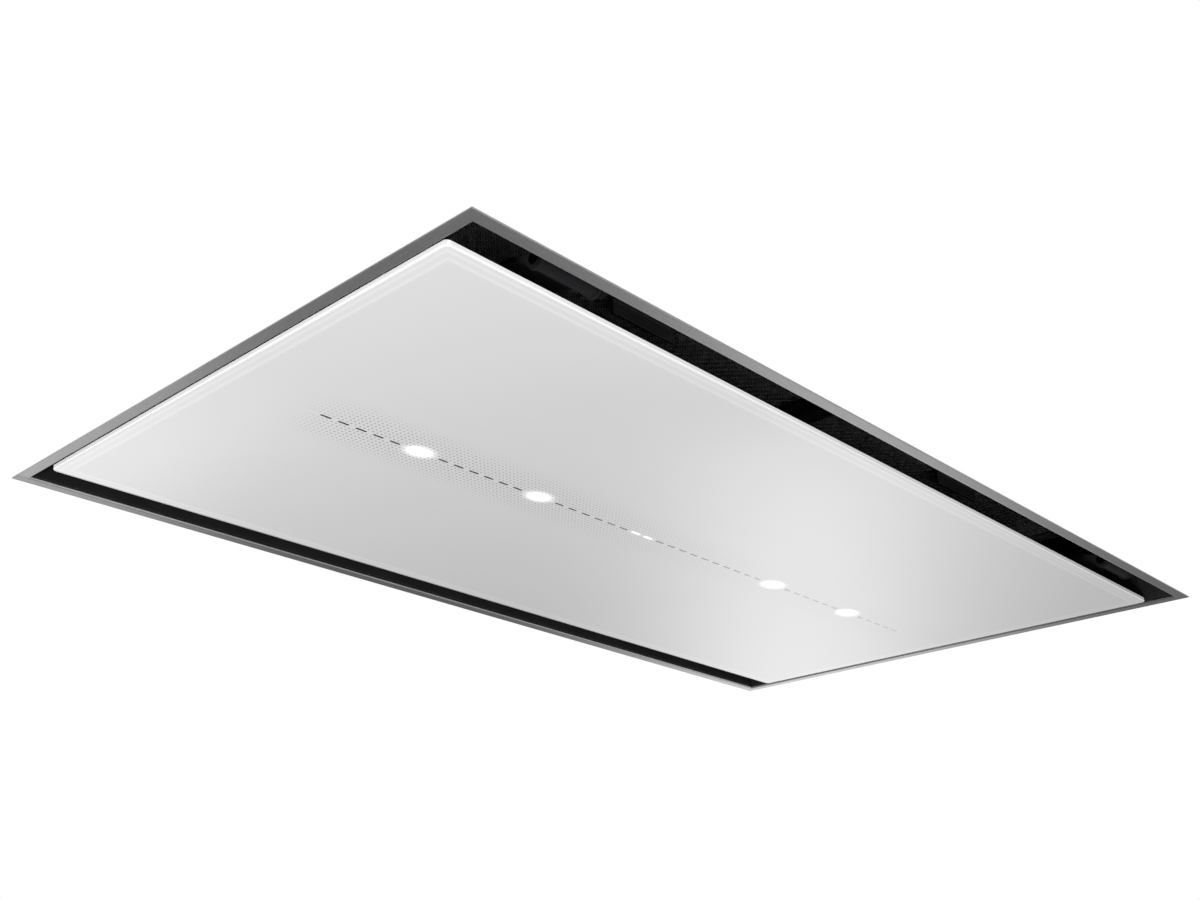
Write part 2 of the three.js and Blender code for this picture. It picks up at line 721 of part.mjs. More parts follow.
// Magnet catch: a folded bracket on the rear wall that carries a pot magnet over the pan's pad.
function magnetCatch() {
	const shelf = magnetFoot() + MAGNET_HEIGHT;
	const wall = INNER_Y - SEAT_GAP;
	const profile = [
		[strikeY() - STRIKE_RADIUS, shelf],
		[wall, shelf],
		[wall, shelf + CATCH_WIDTH],
		[wall - CATCH_SHEET, shelf + CATCH_WIDTH],
		[wall - CATCH_SHEET, shelf + CATCH_SHEET],
		[strikeY() - STRIKE_RADIUS, shelf + CATCH_SHEET],
	];
	const magnet = rod(STRIKE_RADIUS - 1, magnetFoot(), shelf + CATCH_SHEET / 2, 20);
	return build([drawAlongX(profile, -CATCH_WIDTH / 2, CATCH_WIDTH / 2), magnet.translate(0, strikeY(), 0)]);
}

// ---------------------------------------------------------------- motor box

// Box wall: a sheet with an outward foot flange and an inward top flange, with the spigot's hole.
function motorBox() {
	const profile = [
		[-BOX_SHEET, BOX_FOOT],
		[BOX_FLANGE, BOX_FOOT],
		[BOX_FLANGE, BOX_FOOT + BOX_SHEET],
		[0, BOX_FOOT + BOX_SHEET],
		[0, BOX_TOP],
		[-BOX_FLANGE, BOX_TOP],
		[-BOX_FLANGE, BOX_TOP - BOX_SHEET],
		[-BOX_SHEET, BOX_TOP - BOX_SHEET],
	];
	const hole = circle(DUCT_Y, DUCT_LEVEL, SPIGOT_RADIUS - SPIGOT_SHEET, 36);
	const wall = BOX_LENGTH / 2;
	return build(
		[mitredRing(profile, BOX_LENGTH / 2, BOX_DEPTH / 2)],
		[drawAlongX(hole, wall - 2 * BOX_SHEET, wall + BOX_SHEET)],
	);
}

function motorBoxLid() {
	const outline = roundedRectangle(BOX_LENGTH / 2, BOX_DEPTH / 2, 4, 3);
	return raise(outline, TOP_LEVEL - BOX_SHEET, TOP_LEVEL);
}

// ---------------------------------------------------------------- blower

// Air-side path of the scroll in the blower's own frame, offset outwards by the given distance:
// along the mouth's outer side, round the log spiral, and back along the mouth's inner side.
function scrollPath(offset) {
	const mouthX = BOX_LENGTH / 2 - BOX_SHEET - SEAT_GAP - BLOWER_X;
	const inside = SCROLL_END - SCROLL_MOUTH;
	const last = -Math.asin((inside - offset) / (SCROLL_START + offset));
	const points = [[mouthX, -SCROLL_END - offset]];
	const steps = 30;
	for (let i = 0; i <= steps; i++) {
		const angle = 1.5 * Math.PI + (last - 1.5 * Math.PI) * i / steps;
		const radius = scrollRadius(angle) + offset;
		points.push([radius * Math.cos(angle), radius * Math.sin(angle)]);
	}
	points.push([mouthX, -inside + offset]);
	return points;
}

// Scroll housing: spiral wall, floor with the eye, and four feet on the plenum's top plate.
function scrollHousing() {
	const outer = scrollPath(SCROLL_SHEET);
	const wallOutline = [...scrollPath(0), ...outer.slice().reverse()];
	const eye = circle(0, 0, INLET_THROAT + INLET_SHEET + RUNNING_GAP, 32);
	const wall = raise(wallOutline, SCROLL_FOOT, SCROLL_TOP - SCROLL_SHEET - SEAT_GAP);
	const floor = raise(outer, SCROLL_FOOT, SCROLL_FOOT + SCROLL_SHEET, [eye]);
	const reach = INLET_THROAT + INLET_FLARE + INLET_FLANGE + SCROLL_FOOT_RADIUS + RUNNING_GAP;
	const spots = [80, 170, 255].map((degrees) => {
		const angle = THREE.MathUtils.degToRad(degrees);
		return [reach * Math.cos(angle), reach * Math.sin(angle)];
	});
	const [mouthX, mouthY] = outer[0];
	spots.push([mouthX - 4 * SCROLL_FOOT_RADIUS, mouthY + SCROLL_MOUTH / 2]);
	const feet = spots.map(([x, y]) => {
		const foot = rod(SCROLL_FOOT_RADIUS, PLENUM_HEIGHT + SEAT_GAP, SCROLL_FOOT + SCROLL_SHEET / 2, 12);
		return foot.translate(x, y, 0);
	});
	return build([wall, floor, ...feet]);
}

function scrollCover() {
	const hole = circle(0, 0, MOTOR_HOLE, 32);
	return raise(scrollPath(SCROLL_SHEET), SCROLL_TOP - SCROLL_SHEET, SCROLL_TOP, [hole]);
}

// Bell-mouth inlet: flange on the plenum's top plate, quarter-round flare and short throat.
function inletRing() {
	const foot = PLENUM_HEIGHT + SEAT_GAP;
	const top = WHEEL_FOOT - RUNNING_GAP;
	const wide = INLET_THROAT + INLET_FLARE;
	const inner = arc(wide, foot + INLET_FLARE, INLET_FLARE, 1.5 * Math.PI, Math.PI, 4);
	const outerRadius = INLET_FLARE - INLET_SHEET;
	const outer = arc(wide, foot + INLET_FLARE, outerRadius, Math.PI, 1.5 * Math.PI, 4);
	const profile = [
		[wide + INLET_FLANGE, foot],
		...inner,
		[INLET_THROAT, top],
		[INLET_THROAT + INLET_SHEET, top],
		...outer,
		[wide + INLET_FLANGE, foot + INLET_SHEET],
		[wide + INLET_FLANGE, foot],
	];
	return revolve(profile.reverse(), 32);
}

// One forward-curved blade: its outer tip leads in the sense of rotation.
function bladeOutline(turn) {
	const steps = 4;
	const root = WHEEL_EYE;
	const depth = WHEEL_RADIUS - BLADE_SHEET / 2 - root;
	const face = [];
	const back = [];
	for (let i = 0; i <= steps; i++) {
		const share = i / steps;
		const radius = root + depth * share;
		const angle = turn + BLADE_LEAD * share ** 1.9;
		const width = BLADE_SHEET / 2 / radius / Math.cos(0.9 * share);
		face.push([radius * Math.cos(angle - width), radius * Math.sin(angle - width)]);
		back.push([radius * Math.cos(angle + width), radius * Math.sin(angle + width)]);
	}
	return [...face, ...back.reverse()];
}

// Impeller: back plate on the rotor's flange, a ring of forward-curved blades and an end ring.
function impeller() {
	const hub = ROTOR_RADIUS + SEAT_GAP;
	const plateFoot = WHEEL_TOP - BLADE_SHEET;
	const plate = revolve([
		[hub, plateFoot],
		[WHEEL_RADIUS, plateFoot],
		[WHEEL_RADIUS, WHEEL_TOP],
		[hub, WHEEL_TOP],
		[hub, plateFoot],
	], 48);
	const band = (WHEEL_EYE + WHEEL_RADIUS) / 2;
	const ring = revolve([
		[band, WHEEL_FOOT],
		[WHEEL_RADIUS, WHEEL_FOOT],
		[WHEEL_RADIUS, WHEEL_FOOT + WHEEL_RING],
		[band, WHEEL_FOOT + WHEEL_RING],
		[band, WHEEL_FOOT],
	], 48);
	const blades = [];
	for (let i = 0; i < BLADE_COUNT; i++) {
		const outline = bladeOutline(2 * Math.PI * i / BLADE_COUNT);
		blades.push(raise(outline, WHEEL_FOOT + WHEEL_RING / 3, WHEEL_TOP - BLADE_SHEET / 2));
	}
	return build([plate, ring, ...blades]);
}

// ---------------------------------------------------------------- motor

function rotorRim() {
	return WHEEL_TOP - BLADE_SHEET - SEAT_GAP;
}

// External rotor: a cup with a flange for the impeller and the shaft in its middle.
function motorRotor() {
	const foot = rotorRim() - ROTOR_DEPTH;
	const floor = foot + ROTOR_WALL;
	const rim = rotorRim();
	const top = rim + 6;
	return revolve([
		[0, foot],
		[ROTOR_RADIUS, foot],
		[ROTOR_RADIUS, rim - ROTOR_WALL / 2],
		[ROTOR_RADIUS + ROTOR_FLANGE, rim - ROTOR_WALL / 2],
		[ROTOR_RADIUS + ROTOR_FLANGE, rim],
		[ROTOR_RADIUS, rim],
		[ROTOR_RADIUS, top],
		[ROTOR_RADIUS - ROTOR_WALL, top],
		[ROTOR_RADIUS - ROTOR_WALL, floor],
		[SHAFT_RADIUS, floor],
		[SHAFT_RADIUS, SCROLL_TOP + MOUNT_SHEET],
		[0, SCROLL_TOP + MOUNT_SHEET],
	], 24);
}

// Stator: wound core inside the rotor's cup, hung from its flange on the mount. Its bore is the
// shaft's bearing.
function motorStator() {
	const foot = rotorRim() - ROTOR_DEPTH + ROTOR_WALL + 2 * RUNNING_GAP;
	const seat = SCROLL_TOP + MOUNT_SHEET + 2 * SEAT_GAP;
	const flange = seat + 5;
	const bore = SHAFT_RADIUS + SEAT_GAP;
	return revolve([
		[bore, foot],
		[STATOR_RADIUS, foot],
		[STATOR_RADIUS, seat],
		[MOTOR_HOLE - 2, seat],
		[MOTOR_HOLE - 2, flange - 1.5],
		[MOTOR_HOLE - 6, flange],
		[bore, flange],
		[bore, foot],
	], 24);
}

// Motor mount: a ring with three arms that lies on the scroll's cover.
function motorMount() {
	const foot = SCROLL_TOP + SEAT_GAP;
	const top = foot + MOUNT_SHEET;
	const outer = MOTOR_HOLE + 8;
	const inner = STATOR_RADIUS + RUNNING_GAP;
	const joined = [revolve([[inner, foot], [outer, foot], [outer, top], [inner, top], [inner, foot]], 24)];
	for (let i = 0; i < 3; i++) {
		const arm = roundedRectangle(MOUNT_REACH / 2, MOUNT_ARM_WIDTH / 2, 6, 2);
		const shape = raise(arm, foot, top).translate(MOUNT_REACH / 2 + inner / 2, 0, 0);
		joined.push(shape.rotateZ(2 * Math.PI * i / 3 + Math.PI / 2));
	}
	const bore = rod(inner, foot - 1, top + 1, 24);
	return build(joined, [bore]);
}

// ---------------------------------------------------------------- duct spigot

function spigotFoot() {
	return BOX_LENGTH / 2 + SEAT_GAP;
}

function spindleX() {
	return spigotFoot() + SPINDLE_SETBACK;
}

// Spigot: a tube with a rolled stop bead, a collar on the box wall and the flaps' upright spindle.
function outletSpigot() {
	const outer = SPIGOT_RADIUS;
	const inner = outer - SPIGOT_SHEET;
	const collar = outer + SPIGOT_COLLAR;
	const bead = SPIGOT_LENGTH * 0.7;
	const profile = [
		[inner, 0],
		[collar, 0],
		[collar, SPIGOT_SHEET],
		[outer, SPIGOT_SHEET],
		[outer, bead - 2],
		[outer + DUCT_PLAY, bead],
		[outer, bead + 2],
		[outer, SPIGOT_LENGTH],
		[inner, SPIGOT_LENGTH],
		[inner, 0],
	];
	const tube = revolve(profile, 36).applyMatrix4(CYCLE_TO_X).translate(spigotFoot(), DUCT_Y, DUCT_LEVEL);
	const half = outer - SPIGOT_SHEET / 2;
	const spindle = rod(SPINDLE_RADIUS, DUCT_LEVEL - half, DUCT_LEVEL + half, 12);
	return build([tube, spindle.translate(spindleX(), DUCT_Y, 0)]);
}

// Half-disc flap with two knuckles on the spindle, the lower edge of each at the given distance
// from the disc's middle. The side is -1 for the flap towards -y and 1 for the one towards +y.
function flap(side, knuckleFoot) {
	const radius = SPIGOT_RADIUS - SPIGOT_SHEET - RUNNING_GAP;
	const edge = FLAP_KNUCKLE + SEAT_GAP * 2;
	const lean = Math.asin(edge / radius);
	const rim = arc(0, 0, radius, lean - Math.PI / 2, Math.PI / 2 - lean, 14);
	const outline = rim.map(([u, v]) => [side * u, v]);
	const joined = [drawAlongX(outline, -FLAP_SHEET / 2, FLAP_SHEET / 2)];
	const cut = [];
	for (const end of [-1, 1]) {
		const middle = end * (knuckleFoot + FLAP_KNUCKLE_LENGTH / 2);
		const foot = middle - FLAP_KNUCKLE_LENGTH / 2;
		const top = middle + FLAP_KNUCKLE_LENGTH / 2;
		joined.push(rod(FLAP_KNUCKLE, foot, top, 12));
		const reach = [side * SPINDLE_RADIUS * 1.2, side * (edge + 2)].sort((a, b) => a - b);
		joined.push(block(-FLAP_SHEET / 2, FLAP_SHEET / 2, ...reach, foot, top));
		cut.push(rod(SPINDLE_RADIUS + SEAT_GAP, foot - 1, top + 1, 12));
	}
	return build(joined, cut);
}

// ---------------------------------------------------------------- electronics

function electronicsBox() {
	const halfX = CASE_LENGTH / 2;
	const halfY = CASE_DEPTH / 2;
	const foot = PLENUM_HEIGHT + SEAT_GAP;
	const top = foot + CASE_HEIGHT - CASE_WALL - SEAT_GAP;
	const inside = roundedRectangle(halfX - CASE_WALL, halfY - CASE_WALL, CASE_CORNER - CASE_WALL, 3);
	const shell = raise(roundedRectangle(halfX, halfY, CASE_CORNER, 3), foot, top);
	const hollow = raise(inside, foot + CASE_WALL, top + CASE_WALL);
	const bore = circle(0, glandLevel(), GLAND_RADIUS - 1, 20);
	const entry = drawAlongY(bore, -halfY - CASE_WALL, -halfY + 2 * CASE_WALL);
	const tray = solid(build([shell], [hollow, entry]));
	const posts = [-1, 1].map((side) => {
		const post = block(-4, 4, -4, 4, foot + CASE_WALL / 2, boardLevel() - SEAT_GAP);
		return solid(post.translate(side * (halfX - 4 * BOARD_MARGIN), side * (halfY - 4 * BOARD_MARGIN), 0));
	});
	return surface(tray.add(posts[0]).add(posts[1]));
}

function boardLevel() {
	return PLENUM_HEIGHT + SEAT_GAP + CASE_WALL + BOARD_RISE;
}

function glandLevel() {
	return PLENUM_HEIGHT + CASE_HEIGHT / 2;
}

function electronicsLid() {
	const foot = PLENUM_HEIGHT + SEAT_GAP + CASE_HEIGHT - CASE_WALL;
	return raise(roundedRectangle(CASE_LENGTH / 2, CASE_DEPTH / 2, CASE_CORNER, 3), foot, foot + CASE_WALL);
}

// Control board with transformer, two capacitors, relay and the supply's terminal block.
function controlBoard() {
	const halfX = CASE_LENGTH / 2 - CASE_WALL - BOARD_MARGIN;
	const halfY = CASE_DEPTH / 2 - CASE_WALL - BOARD_MARGIN;
	const foot = boardLevel();
	const top = foot + BOARD_SHEET;
	const seat = top - BOARD_SHEET / 2;
	const transformerX = COMPONENT_MARGIN - halfX;
	const transformerY = halfY - COMPONENT_MARGIN - TRANSFORMER_DEPTH;
	const relayX = halfX - COMPONENT_MARGIN - RELAY_LENGTH;
	const relayY = COMPONENT_MARGIN / 2;
	const terminalY = BOARD_MARGIN - halfY;
	const capacitorX = halfX - COMPONENT_MARGIN - 2 * CAPACITOR_RADIUS;
	const capacitorY = -COMPONENT_MARGIN - CAPACITOR_RADIUS;
	const capacitor = rod(CAPACITOR_RADIUS, seat, top + CAPACITOR_HEIGHT, 16);
	return build([
		block(-halfX, halfX, -halfY, halfY, foot, top),
		block(
			transformerX, transformerX + TRANSFORMER_LENGTH,
			transformerY, transformerY + TRANSFORMER_DEPTH, seat, top + TRANSFORMER_HEIGHT,
		),
		block(relayX, relayX + RELAY_LENGTH, relayY, relayY + RELAY_DEPTH, seat, top + RELAY_HEIGHT),
		block(
			-TERMINAL_LENGTH / 2, TERMINAL_LENGTH / 2,
			terminalY, terminalY + TERMINAL_DEPTH, seat, top + TERMINAL_HEIGHT,
		),
		capacitor.clone().translate(capacitorX, capacitorY, 0),
		capacitor.clone().translate(capacitorX - 3 * CAPACITOR_RADIUS, capacitorY, 0),
	]);
}

// Cable gland: threaded shank through the box wall, hexagonal body and domed cap, with its bore.
function mainsGland() {
	const wall = CASE_DEPTH / 2 + SEAT_GAP;
	const bore = GLAND_RADIUS / 2;
	const shank = GLAND_RADIUS - 1 - SEAT_GAP;
	const hexagon = circle(0, 0, GLAND_RADIUS * 1.25, 6);
	const body = raise(hexagon, wall, wall + 6);
	const cap = revolve([
		[0, wall - CASE_WALL - 4],
		[shank, wall - CASE_WALL - 4],
		[shank, wall + 5],
		[GLAND_RADIUS, wall + 5],
		[GLAND_RADIUS, wall + 14],
		[GLAND_RADIUS * 0.75, wall + 19],
		[0, wall + 19],
	], 16);
	const hole = rod(bore, wall - CASE_WALL - 6, wall + 21, 12);
	return surface(solid(body).add(solid(cap)).subtract(solid(hole)))
		.rotateX(Math.PI / 2).translate(0, 0, glandLevel());
}

// ---------------------------------------------------------------- hangers and ceiling clamps

// Z-shaped hanger bracket: foot on the plenum's top plate, riser and slotted upper tab.
function hangerBracket() {
	const profile = [
		[0, 0],
		[HANGER_LEG, 0],
		[HANGER_LEG, HANGER_SHEET],
		[HANGER_SHEET, HANGER_SHEET],
		[HANGER_SHEET, HANGER_RISE],
		[-HANGER_LEG, HANGER_RISE],
		[-HANGER_LEG, HANGER_RISE - HANGER_SHEET],
		[0, HANGER_RISE - HANGER_SHEET],
	];
	const slot = roundedRectangle(HANGER_SLOT_LENGTH / 2, HANGER_SLOT_WIDTH / 2, HANGER_SLOT_WIDTH / 2, 6);
	const hole = raise(slot, HANGER_RISE - 2 * HANGER_SHEET, HANGER_RISE + HANGER_SHEET);
	return build(
		[drawAlongX(profile, -HANGER_WIDTH / 2, HANGER_WIDTH / 2)],
		[hole.translate(0, (HANGER_SHEET - HANGER_LEG) / 2, 0)],
	);
}

// Clamp screw: pan head below the pocket's floor, collar above it and a long shank.
function clampScrew() {
	const under = POCKET_FLOOR - WALL_SHEET - SEAT_GAP;
	const seat = POCKET_FLOOR + SEAT_GAP;
	const top = POCKET_TOP - SEAT_GAP;
	return revolve([
		[0, under - SCREW_HEAD_HEIGHT],
		[SCREW_HEAD_RADIUS * 0.8, under - SCREW_HEAD_HEIGHT],
		[SCREW_HEAD_RADIUS, under - SCREW_HEAD_HEIGHT / 2],
		[SCREW_HEAD_RADIUS, under],
		[SCREW_RADIUS, under],
		[SCREW_RADIUS, seat],
		[SCREW_HEAD_RADIUS, seat],
		[SCREW_HEAD_RADIUS, seat + SCREW_COLLAR_HEIGHT],
		[SCREW_RADIUS, seat + SCREW_COLLAR_HEIGHT],
		[SCREW_RADIUS, top],
		[0, top],
	], 10);
}

// Clamp wing, pointing along +x: threaded boss, flat arm and a foot turned down at its tip.
function clampWing() {
	const half = WING_WIDTH / 2;
	const foot = POCKET_TOP - WING_GAP - WING_BOSS_HEIGHT;
	const arm = foot + WING_FOOT;
	const outline = [
		...arc(0, 0, half, Math.PI / 2, 1.5 * Math.PI, 8),
		[WING_LENGTH - half / 2, -half],
		[WING_LENGTH, -half / 2],
		[WING_LENGTH, half / 2],
		[WING_LENGTH - half / 2, half],
	];
	const lipX = WING_LENGTH - 2 * WING_SHEET;
	const lip = block(lipX, lipX + 1.5 * WING_SHEET, -half / 2, half / 2, foot, arm + 1);
	const rib = drawAlongY([
		[0, arm + 1],
		[WING_LENGTH - WING_SHEET, arm + 1],
		[WING_LENGTH - WING_SHEET, arm + WING_SHEET + 1],
		[0, foot + WING_BOSS_HEIGHT - 1],
	], -WING_SHEET / 2, WING_SHEET / 2);
	const boss = rod(half - 1, foot, foot + WING_BOSS_HEIGHT, 12);
	const bore = rod(SCREW_RADIUS + SEAT_GAP, foot - 1, foot + WING_BOSS_HEIGHT + 1, 12);
	return build([raise(outline, arm, arm + WING_SHEET), lip, rib, boss], [bore]);
}

// ---------------------------------------------------------------- assembly

function addHousing(parent) {
	const housing = section(parent);
	piece(housing, 'trim_frame', mitredRing(trimProfile(), INNER_X, INNER_Y), STAINLESS);
	piece(housing, 'rear_wall', longWall(), BLACK_PAINT);
	piece(housing, 'front_wall', longWall(), BLACK_PAINT, [0, 0, 0], Math.PI);
	piece(housing, 'end_wall_right', endWall(), BLACK_PAINT);
	piece(housing, 'end_wall_left', endWall(), BLACK_PAINT, [0, 0, 0], Math.PI);
	piece(housing, 'plenum_top', plenumTop(), GALVANISED);
	piece(housing, 'filter_shelf', filterShelf(), BLACK_PAINT);
}

function addFilters(parent) {
	for (const [word, side] of [['left', -1], ['right', 1]]) {
		const cassette = section(parent);
		cassette.position.set(side * FILTER_X, 0, FILTER_FOOT);
		piece(cassette, `filter_frame_${word}`, filterFrame(), ALUMINIUM);
		piece(cassette, `filter_core_${word}`, filterCore(), ALUMINIUM);
		piece(cassette, `filter_latch_${word}`, filterLatch(), ZINC, [0, 0, -SEAT_GAP]);
	}
}

function addHinges(parent) {
	for (const [word, side] of [['left', -1], ['right', 1]]) {
		const hinge = section(parent);
		hinge.position.x = side * HINGE_X;
		piece(hinge, `hinge_bracket_${word}`, hingeBracket(), BLACK_PAINT);
		piece(hinge, `hinge_pin_${word}`, hingePin(), ZINC);
		piece(hinge, `hinge_arm_${word}`, hingeArm(), BLACK_PAINT);
		piece(hinge, `magnet_catch_${word}`, magnetCatch(), BLACK_PAINT);
	}
}

function addPanel(parent) {
	const panel = section(parent);
	piece(panel, 'panel_glass', panelGlass(), WHITE_GLASS);
	piece(panel, 'panel_pan', panelPan(), BLACK_PAINT);
	LAMP_SPOTS.forEach((x, i) => {
		piece(panel, `lamp_${i + 1}`, lampModule(), LAMP_WHITE, [x, 0, PANEL_BACK]);
	});
	piece(panel, 'display_board', displayBoard(), BOARD_GREEN, [DISPLAY_X, 0, PANEL_BACK]);
}

function addBlower(parent) {
	piece(parent, 'motor_box', motorBox(), GALVANISED);
	piece(parent, 'motor_box_lid', motorBoxLid(), GALVANISED);
	const blower = section(parent);
	blower.position.set(BLOWER_X, BLOWER_Y, 0);
	piece(blower, 'scroll_housing', scrollHousing(), GALVANISED);
	piece(blower, 'scroll_cover', scrollCover(), GALVANISED);
	piece(blower, 'inlet_ring', inletRing(), BLACK_PLASTIC);
	piece(blower, 'impeller', impeller(), BLACK_PLASTIC);
	piece(blower, 'motor_rotor', motorRotor(), MOTOR_STEEL);
	piece(blower, 'motor_stator', motorStator(), MOTOR_STEEL);
	piece(blower, 'motor_mount', motorMount(), GALVANISED);
}

function addOutlet(parent) {
	const outlet = section(parent);
	piece(outlet, 'outlet_spigot', outletSpigot(), BLACK_PLASTIC);
	const centre = [spindleX(), DUCT_Y, DUCT_LEVEL];
	piece(outlet, 'flap_front', flap(-1, FLAP_KNUCKLE_START), BLACK_PLASTIC, centre);
	const rearStart = FLAP_KNUCKLE_START + FLAP_KNUCKLE_LENGTH + FLAP_KNUCKLE_GAP;
	piece(outlet, 'flap_rear', flap(1, rearStart), BLACK_PLASTIC, centre);
}

function addElectronics(parent) {
	const electronics = section(parent);
	electronics.position.x = CASE_X;
	piece(electronics, 'electronics_box', electronicsBox(), GREY_PLASTIC);
	piece(electronics, 'electronics_lid', electronicsLid(), GREY_PLASTIC);
	piece(electronics, 'control_board', controlBoard(), BOARD_GREEN);
	piece(electronics, 'mains_gland', mainsGland(), GREY_PLASTIC);
}

function addFixings(parent) {
	const corners = [[-1, -1], [1, -1], [1, 1], [-1, 1]];
	corners.forEach(([signX, signY], i) => {
		const hangerX = INNER_X - HANGER_END_INSET;
		const hangerY = INNER_Y - HANGER_SIDE_INSET;
		const hanger = [signX * hangerX, signY * hangerY, PLENUM_HEIGHT + SEAT_GAP];
		const facing = signY > 0 ? 0 : Math.PI;
		piece(parent, `hanger_bracket_${i + 1}`, hangerBracket(), GALVANISED, hanger, facing);
		const pocket = clampPocket(signX * signY);
		piece(parent, `clamp_pocket_${i + 1}`, pocket, BLACK_PAINT, [0, 0, 0], signX > 0 ? 0 : Math.PI);
		const axis = [signX * clampAxisX(), signY * clampAxisY(), 0];
		piece(parent, `clamp_screw_${i + 1}`, clampScrew(), ZINC, axis);
		piece(parent, `clamp_wing_${i + 1}`, clampWing(), ZINC, axis, signY * Math.PI / 2);
	});
}

const hood = new THREE.Group();
addHousing(hood);
addFilters(hood);
addHinges(hood);
addPanel(hood);
addBlower(hood);
addOutlet(hood);
addElectronics(hood);
addFixings(hood);

export default hood;
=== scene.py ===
"""Looks of a recessed ceiling hood, built around its packed CAD solids.

Drawings are in millimetres of the row frame: z = 0 is the ceiling's underside, x runs along the
hood's long side, and the glass panel hinges near its edge towards -y. Meshes are in metres.
"""

import sys
import logging
import math
from collections.abc import Mapping, Sequence
from dataclasses import dataclass
from enum import Enum

import bmesh
import bpy
from mathutils import Matrix, Vector


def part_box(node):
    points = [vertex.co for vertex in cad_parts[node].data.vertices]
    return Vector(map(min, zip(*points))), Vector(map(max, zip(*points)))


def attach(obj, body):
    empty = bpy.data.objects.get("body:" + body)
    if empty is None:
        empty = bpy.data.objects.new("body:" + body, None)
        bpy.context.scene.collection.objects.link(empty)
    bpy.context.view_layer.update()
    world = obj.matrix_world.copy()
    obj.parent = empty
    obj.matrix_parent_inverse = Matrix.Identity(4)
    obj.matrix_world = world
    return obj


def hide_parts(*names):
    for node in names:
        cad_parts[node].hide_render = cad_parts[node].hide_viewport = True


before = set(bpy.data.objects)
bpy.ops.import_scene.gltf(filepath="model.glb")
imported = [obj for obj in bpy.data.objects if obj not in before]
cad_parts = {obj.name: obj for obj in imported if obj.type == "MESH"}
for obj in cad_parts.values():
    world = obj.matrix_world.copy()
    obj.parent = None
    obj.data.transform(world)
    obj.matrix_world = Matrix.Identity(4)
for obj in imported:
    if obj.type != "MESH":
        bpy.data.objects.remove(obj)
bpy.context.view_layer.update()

LOG = logging.getLogger("ceiling_hood")
MM = 0.001
SMOOTH_ANGLE = math.radians(32)
FLAT_ANGLE = math.radians(0.4)
WELD = 0.002
RIVET_RADIUS = 2.4
RIVET_HEIGHT = 1.1
SCREW_HEIGHT_SHARE = 0.6

Pair = tuple[float, float]
Point = tuple[float, float, float]
Colour = tuple[float, float, float]
Loop = list[Point]
Outline = Sequence[Pair]


class Side(Enum):
    """A side of the hood: the word in the names of its nodes, and its sign along x or y."""

    LEFT = ("left", -1)
    RIGHT = ("right", 1)
    FRONT = ("front", -1)
    REAR = ("rear", 1)

    def __init__(self, word: str, sign: int) -> None:
        """Keeps the word and the sign."""
        self.word = word
        self.sign = sign

    def __str__(self) -> str:
        """The word alone, for the names of nodes and pieces."""
        return self.word


ENDS = (Side.LEFT, Side.RIGHT)
FACES = (Side.FRONT, Side.REAR)
SIGNS = (-1, 1)


# ---------------------------------------------------------------- shader maths


@dataclass(frozen=True)
class Field:
    """A number, colour or vector that varies over a surface: one output socket of a node."""

    shader: "Shader"
    socket: bpy.types.NodeSocket

    def _math(self, operation: str, *values: "Amount") -> "Field":
        """Adds one Math node for the operation on the values."""
        return self.shader.node("ShaderNodeMath", {"operation": operation}, dict(enumerate(values)))

    def __add__(self, other: "Amount") -> "Field":
        """This plus the other."""
        return self._math("ADD", self, other)

    def __radd__(self, other: float) -> "Field":
        """The other plus this."""
        return self._math("ADD", other, self)

    def __sub__(self, other: "Amount") -> "Field":
        """This minus the other."""
        return self._math("SUBTRACT", self, other)

    def __rsub__(self, other: float) -> "Field":
        """The other minus this."""
        return self._math("SUBTRACT", other, self)

    def __mul__(self, other: "Amount") -> "Field":
        """This times the other."""
        return self._math("MULTIPLY", self, other)

    def __rmul__(self, other: float) -> "Field":
        """The other times this."""
        return self._math("MULTIPLY", other, self)

    def __truediv__(self, other: "Amount") -> "Field":
        """This divided by the other."""
        return self._math("DIVIDE", self, other)

    def __rtruediv__(self, other: float) -> "Field":
        """The other divided by this."""
        return self._math("DIVIDE", other, self)

    def __pow__(self, other: "Amount") -> "Field":
        """This to the power of the other."""
        return self._math("POWER", self, other)

    def __lt__(self, other: "Amount") -> "Field":
        """1 where this is less than the other, else 0."""
        return self._math("LESS_THAN", self, other)

    def __gt__(self, other: "Amount") -> "Field":
        """1 where this is greater than the other, else 0."""
        return self._math("GREATER_THAN", self, other)

    def absolute(self) -> "Field":
        """The size of this without its sign."""
        return self._math("ABSOLUTE", self)

    def least(self, other: "Amount") -> "Field":
        """The lesser of this and the other."""
        return self._math("MINIMUM", self, other)

    def most(self, other: "Amount") -> "Field":
        """The greater of this and the other."""
        return self._math("MAXIMUM", self, other)

    def cell(self) -> "Field":
        """Distance to the nearest whole number, with its sign."""
        return self._math("FRACT", self + 0.5) - 0.5

    def repeated(self, pitch: float) -> "Field":
        """Distance to the nearest multiple of the pitch, with its sign."""
        return (self / pitch).cell() * pitch

    def reach(self, other: "Field") -> "Field":
        """Distance from the origin to the point that has this and the other as coordinates."""
        return (self * self + other * other) ** 0.5

    def wave(self) -> "Field":
        """Sine of this."""
        return self._math("SINE", self)

    def fading(self) -> "Field":
        """The exponential of minus this."""
        return self._math("EXPONENT", self * -1.0)

    def beyond(self, low: float, high: float) -> "Field":
        """Rises smoothly from 0 where this is low to 1 where it is high."""
        sockets = {"Value": self, "From Min": low, "From Max": high}
        return self.shader.node("ShaderNodeMapRange", {"interpolation_type": "SMOOTHSTEP"}, sockets)


Amount = Field | float
Setting = str | bool | float
SocketValue = Field | float | Sequence[float]
Sockets = dict[str, SocketValue]


